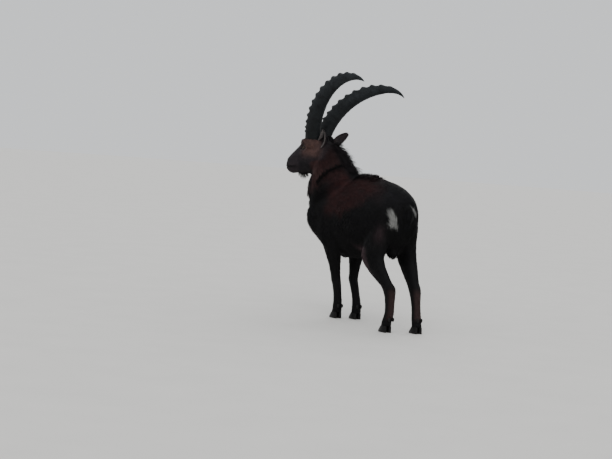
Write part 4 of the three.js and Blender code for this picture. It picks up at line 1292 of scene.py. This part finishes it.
def ring_corners(rows, columns):
    """The four corner numbers of each face between rings of points."""
    k, i = (v.ravel() for v in np.meshgrid(np.arange(rows), np.arange(columns), indexing="ij"))
    j = (i + 1) % columns
    return k * columns + i, k * columns + j, (k + 1) * columns + j, (k + 1) * columns + i


def lofted(name, grid):
    """A closed mesh from rings of points, with a fan at each end whose middle points come last."""
    rings, sides = grid.shape[:2]
    a, b, c, d = ring_corners(rings - 1, sides)
    total, start = rings * sides, (rings - 1) * sides
    ring = np.arange(sides)
    following = (ring + 1) % sides
    first = np.stack([np.full(sides, total), following, ring], 1)
    last = np.stack([np.full(sides, total + 1), start + ring, start + following], 1)
    faces = np.concatenate([np.stack([a, b, c], 1), np.stack([a, c, d], 1), first, last])
    points = np.concatenate([grid.reshape(-1, 3), [grid[0].mean(0), grid[-1].mean(0)]])
    a, b, c = (points[faces[:, n]] for n in range(3))
    if (np.cross(a, b) * c).sum() < 0:
        faces = faces[:, ::-1]
    return mesh_of(name, points, np.ascontiguousarray(faces))


# Ears
EAR_LENGTH, EAR_SUNK, EAR_WIDTH, EAR_THICK, EAR_BEND = 0.160, 0.030, 0.056, 0.0026, 0.007
EAR_RINGS, EAR_ARC = 34, 18
EAR_LIE = {
    "left": dict(root=(-0.067, 0.057, -0.028), along=(-0.35, 0.54, 0.77), opens=(0.20, 0.93, -0.10)),
    "right": dict(root=(-0.084, -0.058, 0.004), along=(-0.43, -0.57, 0.71), opens=(0.50, -0.80, -0.20)),
}
EAR_SHAPE = dict(  # shares of the length, of the width, and the half angle that the cup wraps
    along=[0, 0.14, 0.30, 0.48, 0.66, 0.82, 0.94, 1.0],
    wide=[0.5, 0.66, 0.90, 1.0, 0.90, 0.66, 0.34, 0.12],
    curl=[158, 140, 118, 100, 88, 78, 70, 66],
)
# Ear hair: count, from which to which edge of the cup, lowest share of the length, 1 on the outside
# and -1 in the cup, length, lift in degrees, colour and width
EAR_HAIR = (
    (5200, (-1, 1), 0.16, 1, 0.009, 14, EAR_BACK, 0.0013),
    (900, (-1, -0.86), 0.20, 1, 0.012, 24, EAR_RIM, 0.0013),
    (300, (-0.97, -0.55), 0.25, -1, 0.016, 26, EAR_RIM, 0.0014),
    (900, (0.86, 1), 0.20, 1, 0.012, 24, EAR_RIM, 0.0013),
    (300, (0.55, 0.97), 0.25, -1, 0.016, 26, EAR_RIM, 0.0014),
)


def make_ear(hand, material, coat):
    """A thin cupped ear with hair on its back, along its rim and inside."""
    spec = EAR_LIE[hand]
    along = unit(spec["along"])
    opens = np.array(spec["opens"], float)
    opens = unit(opens - along * (opens @ along))
    across = np.cross(along, opens)
    share = np.linspace(0, 1, EAR_RINGS)
    wide = np.interp(share, EAR_SHAPE["along"], EAR_SHAPE["wide"])
    curl = np.radians(np.interp(share, EAR_SHAPE["along"], EAR_SHAPE["curl"]))
    for values in (wide, curl):
        values[1:-1] = (values[:-2] + 2 * values[1:-1] + values[2:]) / 4
    radius = wide * EAR_WIDTH / 2 / np.sin(np.minimum(curl, math.pi / 2))
    middle = (np.array(spec["root"]) + along * (share * EAR_LENGTH - EAR_SUNK)[:, None]
              - opens * (EAR_BEND * np.sin(share * math.pi))[:, None])
    angle = np.linspace(-1, 1, EAR_ARC)[None] * curl[:, None]

    def sheet(inset):
        r = (radius - inset)[:, None]
        back, aside = (np.cos(angle) * r)[..., None], (np.sin(angle) * r)[..., None]
        return middle[:, None] - opens * back + across * aside

    outer, inner = sheet(0), sheet(np.minimum(EAR_THICK, radius * 0.45))
    mesh = lofted(f"ear_fine_{hand}", on_head(np.concatenate([outer, inner[:, ::-1]], axis=1)))
    depth = np.repeat([0.0, 1.0], EAR_ARC) * np.ones((EAR_RINGS, 1))
    edge = np.abs(np.concatenate([angle, angle[:, ::-1]], axis=1)) / curl[:, None]
    pale = step(0.80 - 0.45 * depth, 1.0 - 0.2 * depth, edge) * step(0.22, 0.42, share)[:, None]
    colour = mixed(linear(EAR_BACK), linear(EAR_HOLE), (depth * (1 - pale)).ravel())
    colour = mixed(colour, linear(EAR_RIM), (0.8 * pale).ravel())
    colour_corners(mesh, np.concatenate([colour, colour[-2:]]))
    piece(f"ear_fine_{hand}", mesh, material, "ear", [f"ear_{hand}"])
    ear_hair(hand, outer, inner, along, coat)


def ear_hair(hand, outer, inner, along, coat):
    """Short hair on the back of an ear, a paler fringe on its rim and wisps in its cup."""
    rng = np.random.default_rng(51 if hand == "left" else 52)

    def pick(count, span, low):
        count = int(count * EAR_SHARE)
        k = rng.uniform(low * (EAR_RINGS - 1), EAR_RINGS - 2, count)
        j = (rng.uniform(*span, count) + 1) / 2 * (EAR_ARC - 1)
        return k, np.clip(j, 0, EAR_ARC - 1.001)

    def sample(grid, k, j):
        k0, j0 = k.astype(int), j.astype(int)
        u, v = (k - k0)[:, None], (j - j0)[:, None]
        near = grid[k0, j0] * (1 - v) + grid[k0, j0 + 1] * v
        return near * (1 - u) + (grid[k0 + 1, j0] * (1 - v) + grid[k0 + 1, j0 + 1] * v) * u

    places = [pick(*row[:3]) for row in EAR_HAIR]
    sets = []
    for (k, j), (*_, face, size, rise, tone, wide) in zip(places, EAR_HAIR):
        a, b = sample(outer, k, j), sample(inner, k, j)
        length = rng.uniform(0.7, 1.2, len(a)) * size
        lift = rng.uniform(0.6, 1.3, len(a)) * rise
        colour = linear(tone) * rng.uniform(0.75, 1.2, (len(a), 1))
        sets.append((a if face > 0 else b, unit(a - b) * face, length, np.full(len(a), wide), lift, colour))
    at, out, *rest = (np.concatenate(column) for column in zip(*sets))
    out = out @ HEAD_WAYS
    tufts = Tufts(rng, on_head(at), out, on_surface(along @ HEAD_WAYS, out), *rest)
    grow(f"coat_ear_{hand}", tufts, coat, "ear", clump=(6, 0.35), droop=0.02)


# Eyes, lids, hooves
def make_eye(hand, material, bare):
    """An eyeball with a slight cornea and a dark rim of lid round its gap."""
    gaze, along, upward = eye_ways(hand)
    rings, sides = 40, 56
    polar = np.linspace(0.004, math.pi - 0.004, rings)
    turn = np.arange(sides) * 2 * math.pi / sides
    bulge = 1 + 0.045 * np.exp(-(polar / 0.5) ** 2)
    local = np.stack([
        np.sin(polar)[:, None] * np.cos(turn), np.sin(polar)[:, None] * np.sin(turn),
        np.cos(polar)[:, None] * np.ones(sides)], axis=2)
    ways = np.stack([along, upward, gaze])
    mesh = lofted(f"eyeball_{hand}", eyes[hand] + local * (EYE_RADIUS * bulge)[:, None, None] @ ways)
    attach(mesh, "gaze", "FLOAT_VECTOR", np.concatenate([local.reshape(-1, 3), [[0, 0, 1], [0, 0, -1]]]))
    piece(f"eyeball_{hand}", mesh, material, "eye", [f"eye_{hand}"])
    make_lid(hand, gaze, along, upward, bare)


def make_lid(hand, gaze, along, upward, bare):
    """A rounded rim that follows the almond gap between the lids."""
    count, sides = 96, 10
    turn = np.arange(count) * 2 * math.pi / count
    x = LID_REACH[0] * 1.02 * np.cos(turn)
    above, below = lid_gap(x)
    y = np.where(np.sin(turn) >= 0, above, -below)
    way = unit(gaze + np.tan(np.clip(x, -1.3, 1.3))[:, None] * along + np.tan(y)[:, None] * upward)
    line = eyes[hand] + way * (EYE_RADIUS + 0.0008)
    ahead = unit(np.roll(line, -1, axis=0) - np.roll(line, 1, axis=0))
    side = unit(np.cross(ahead, way))
    thick = (0.0013 + 0.0005 * (np.sin(turn) > 0))[:, None]
    angle = np.arange(sides) * 2 * math.pi / sides
    ring = (line[:, None] + way[:, None] * (np.sin(angle) * thick)[..., None]
            + side[:, None] * (np.cos(angle) * thick * 1.3)[..., None])
    faces = np.stack(ring_corners(count, sides), 1) % (count * sides)
    piece(f"lid_rim_{hand}", mesh_of(f"lid_rim_{hand}", ring.reshape(-1, 3), faces), bare, "eye")


CLAW_SHAPE = dict(  # shares of the height, and of the length or width
    up=[0, 0.06, 0.2, 0.6, 0.9, 1.0, 1.06],
    toe=[0.55, 0.57, 0.56, 0.42, 0.31, 0.26, 0.16],
    heel=[0.41, 0.43, 0.43, 0.42, 0.41, 0.38, 0.26],
    half=[0.48, 0.50, 0.50, 0.48, 0.46, 0.44, 0.34],
)
CLAW_LENGTH, CLAW_WIDTH, CLAW_SPLAY = 0.080, 0.030, 0.06


def make_claw(node, material):
    """One claw of a hoof, its wall sloping to the toe, its sole flat."""
    low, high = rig.box(node)
    height = high[2] - low[2]
    heel_back = CLAW_SHAPE["heel"][1] * CLAW_LENGTH * math.cos(math.radians(15))
    middle_y = high[1] - heel_back
    splay = CLAW_SPLAY if ("left" in node) == ("outer" in node) else -CLAW_SPLAY
    middle_x = (low[0] + high[0]) / 2 - splay * 0.006
    rings, sides = 26, 40
    up = np.linspace(0, CLAW_SHAPE["up"][-1], rings)[:, None]
    toe, heel, half = (np.interp(up, CLAW_SHAPE["up"], CLAW_SHAPE[key]) for key in ("toe", "heel", "half"))
    t = np.arange(sides) * 2 * math.pi / sides
    cos, sin = np.cos(t)[None], np.sin(t)[None]
    reach = cos * np.where(cos > 0, toe, heel) * CLAW_LENGTH
    narrow = 1 - 0.35 * np.maximum(0, cos) ** 2
    side = sin * half * CLAW_WIDTH * narrow + splay * np.maximum(0, reach)
    lines = 1 + 0.008 * np.sin(up * 34)
    level = np.broadcast_to(low[2] + up * height, side.shape)
    grid = np.stack([middle_x + side * lines, middle_y - reach * lines, level], axis=2)
    name = node.replace("claw", "hoof")
    piece(name, lofted(name, grid), material, "hoof", [node])


def make_dewclaw(node, material):
    """A blunt dewclaw behind the pastern."""
    low, high = (np.array(v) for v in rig.box(node))
    middle, half = (low + high) / 2, (high - low) / 2
    rings, sides = 20, 24
    polar = np.linspace(0.02, math.pi - 0.02, rings)[:, None]
    t = np.arange(sides) * 2 * math.pi / sides
    blunt = np.sin(polar) ** np.where(polar > math.pi / 2, 0.75, 1.0)
    ball = np.stack([blunt * np.cos(t), blunt * np.sin(t), np.cos(polar) * np.ones(sides)], axis=2)
    name = node.replace("dewclaw", "spur")
    piece(name, lofted(name, middle + half * ball), material, "hoof", [node])


# Stage
CAMERA_AT = (5.430, 7.820, 1.180)      # right of, behind and above the trunk's origin, in metres
CAMERA_HEADING = 239.0                 # degrees from +X, the way that it looks over the ground
CAMERA_DOWN = 3.55
CAMERA_LEAN = 4.3
CAMERA_LENS = 91.5                     # millimetres on a 36 mm sensor
SKY = (0.86, 0.88, 0.90, 1)
LIT_PLACE = (0.05, 0.0, 0.75)          # where the lamps point
LAMPS = {                              # place, strength, softness in degrees
    "key": ((2.0, 3.0, 4.5), 0.9, 50),
    "back": ((-3.0, -4.0, 4.0), 1.1, 60),
}


def make_camera():
    """The photograph's view: from behind the left side, a little down, leaning to one side."""
    data = bpy.data.cameras.new("camera")
    data.lens, data.sensor_width = CAMERA_LENS, 36
    camera = placed("camera", data)
    heading, down = math.radians(CAMERA_HEADING), math.radians(CAMERA_DOWN)
    look = Vector((math.cos(heading) * math.cos(down), math.sin(heading) * math.cos(down), -math.sin(down)))
    turned = look.to_track_quat("-Z", "Y").to_matrix() @ Matrix.Rotation(math.radians(CAMERA_LEAN), 3, "Z")
    camera.matrix_world = Matrix.Translation(Vector(RUMP_AT) + Vector(CAMERA_AT)) @ turned.to_4x4()
    bpy.context.scene.camera = camera


def make_stage():
    """A plain pale floor under soft light."""
    paint = Paint("floor_pale", roughness=0.9, specular=0.1)
    tone = paint.range(paint.noise(3, 3), 0.3, 0.7, 0.98, 1.02)
    paint.link(paint.mix(1.0, FLOOR, tone, "MULTIPLY"), "Base Color")
    mesh = bpy.data.meshes.new("floor")
    bm = bmesh.new()
    bmesh.ops.create_circle(bm, cap_ends=True, radius=40, segments=96)
    bm.to_mesh(mesh)
    bm.free()
    mesh.materials.append(paint.material)
    floor = placed("floor", mesh)
    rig.stage(floor)
    world = bpy.data.worlds.new("studio")
    bpy.context.scene.world = world
    world.use_nodes = True
    world.node_tree.nodes["Background"].inputs["Color"].default_value = SKY
    world.node_tree.nodes["Background"].inputs["Strength"].default_value = 1.0
    for name, lamp in LAMPS.items():
        add_light(name, *lamp)


def add_light(name, at, strength, softness):
    """A broad, far lamp, so that the light is even over the whole floor."""
    data = bpy.data.lights.new(name, "SUN")
    data.energy = strength
    data.angle = math.radians(softness)
    light = placed(name, data)
    light.location = at
    aim = Vector(LIT_PLACE) - Vector(at)
    light.rotation_mode = "QUATERNION"
    light.rotation_quaternion = aim.to_track_quat("-Z", "Y")


def main():
    make_camera()
    make_stage()
    coat = coat_material("coat_hair", False)
    dark = coat_material("dark_hair", False)
    points, faces, edges, weights = make_skin()
    out, _ = facing(points, faces)
    lie = lie_of(points, out, weights, edges)
    mesh = mesh_of("skin", points, faces)
    colour_corners(mesh, markings(points, out) * SKIN_SHADE)
    a, b, c = (points[faces[:, k]] for k in range(3))
    flat = np.repeat(unit(np.cross(b - a, c - a)), 3, axis=0)
    bake_map(mesh, unwrap(points[faces].reshape(-1, 3), flat, box_of(points)))
    piece("skin", mesh, coat_material("skin_coat", True), "coat", FLESH)
    body_coat((points, faces), lie, weights, coat, dark)
    long_locks((points, faces, (out, lie)), weights, coat, dark)
    horn, hoof = horn_material(), hoof_material()
    eye, bare = eye_material(), bare_material()
    ear_skin = coat_material("ear_skin", True)
    for hand in ("left", "right"):
        make_horn(hand, horn)
        make_ear(hand, ear_skin, coat)
        make_eye(hand, eye, bare)
    for node in CLAWS:
        make_claw(node, hoof)
    for node in DEWCLAWS:
        make_dewclaw(node, hoof)


main()

low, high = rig.bounds()
with open("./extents.json", "w") as report:
    json.dump({"cad": [list(v) for v in CAD_BOX], "visual": [list(low), list(high)]}, report)
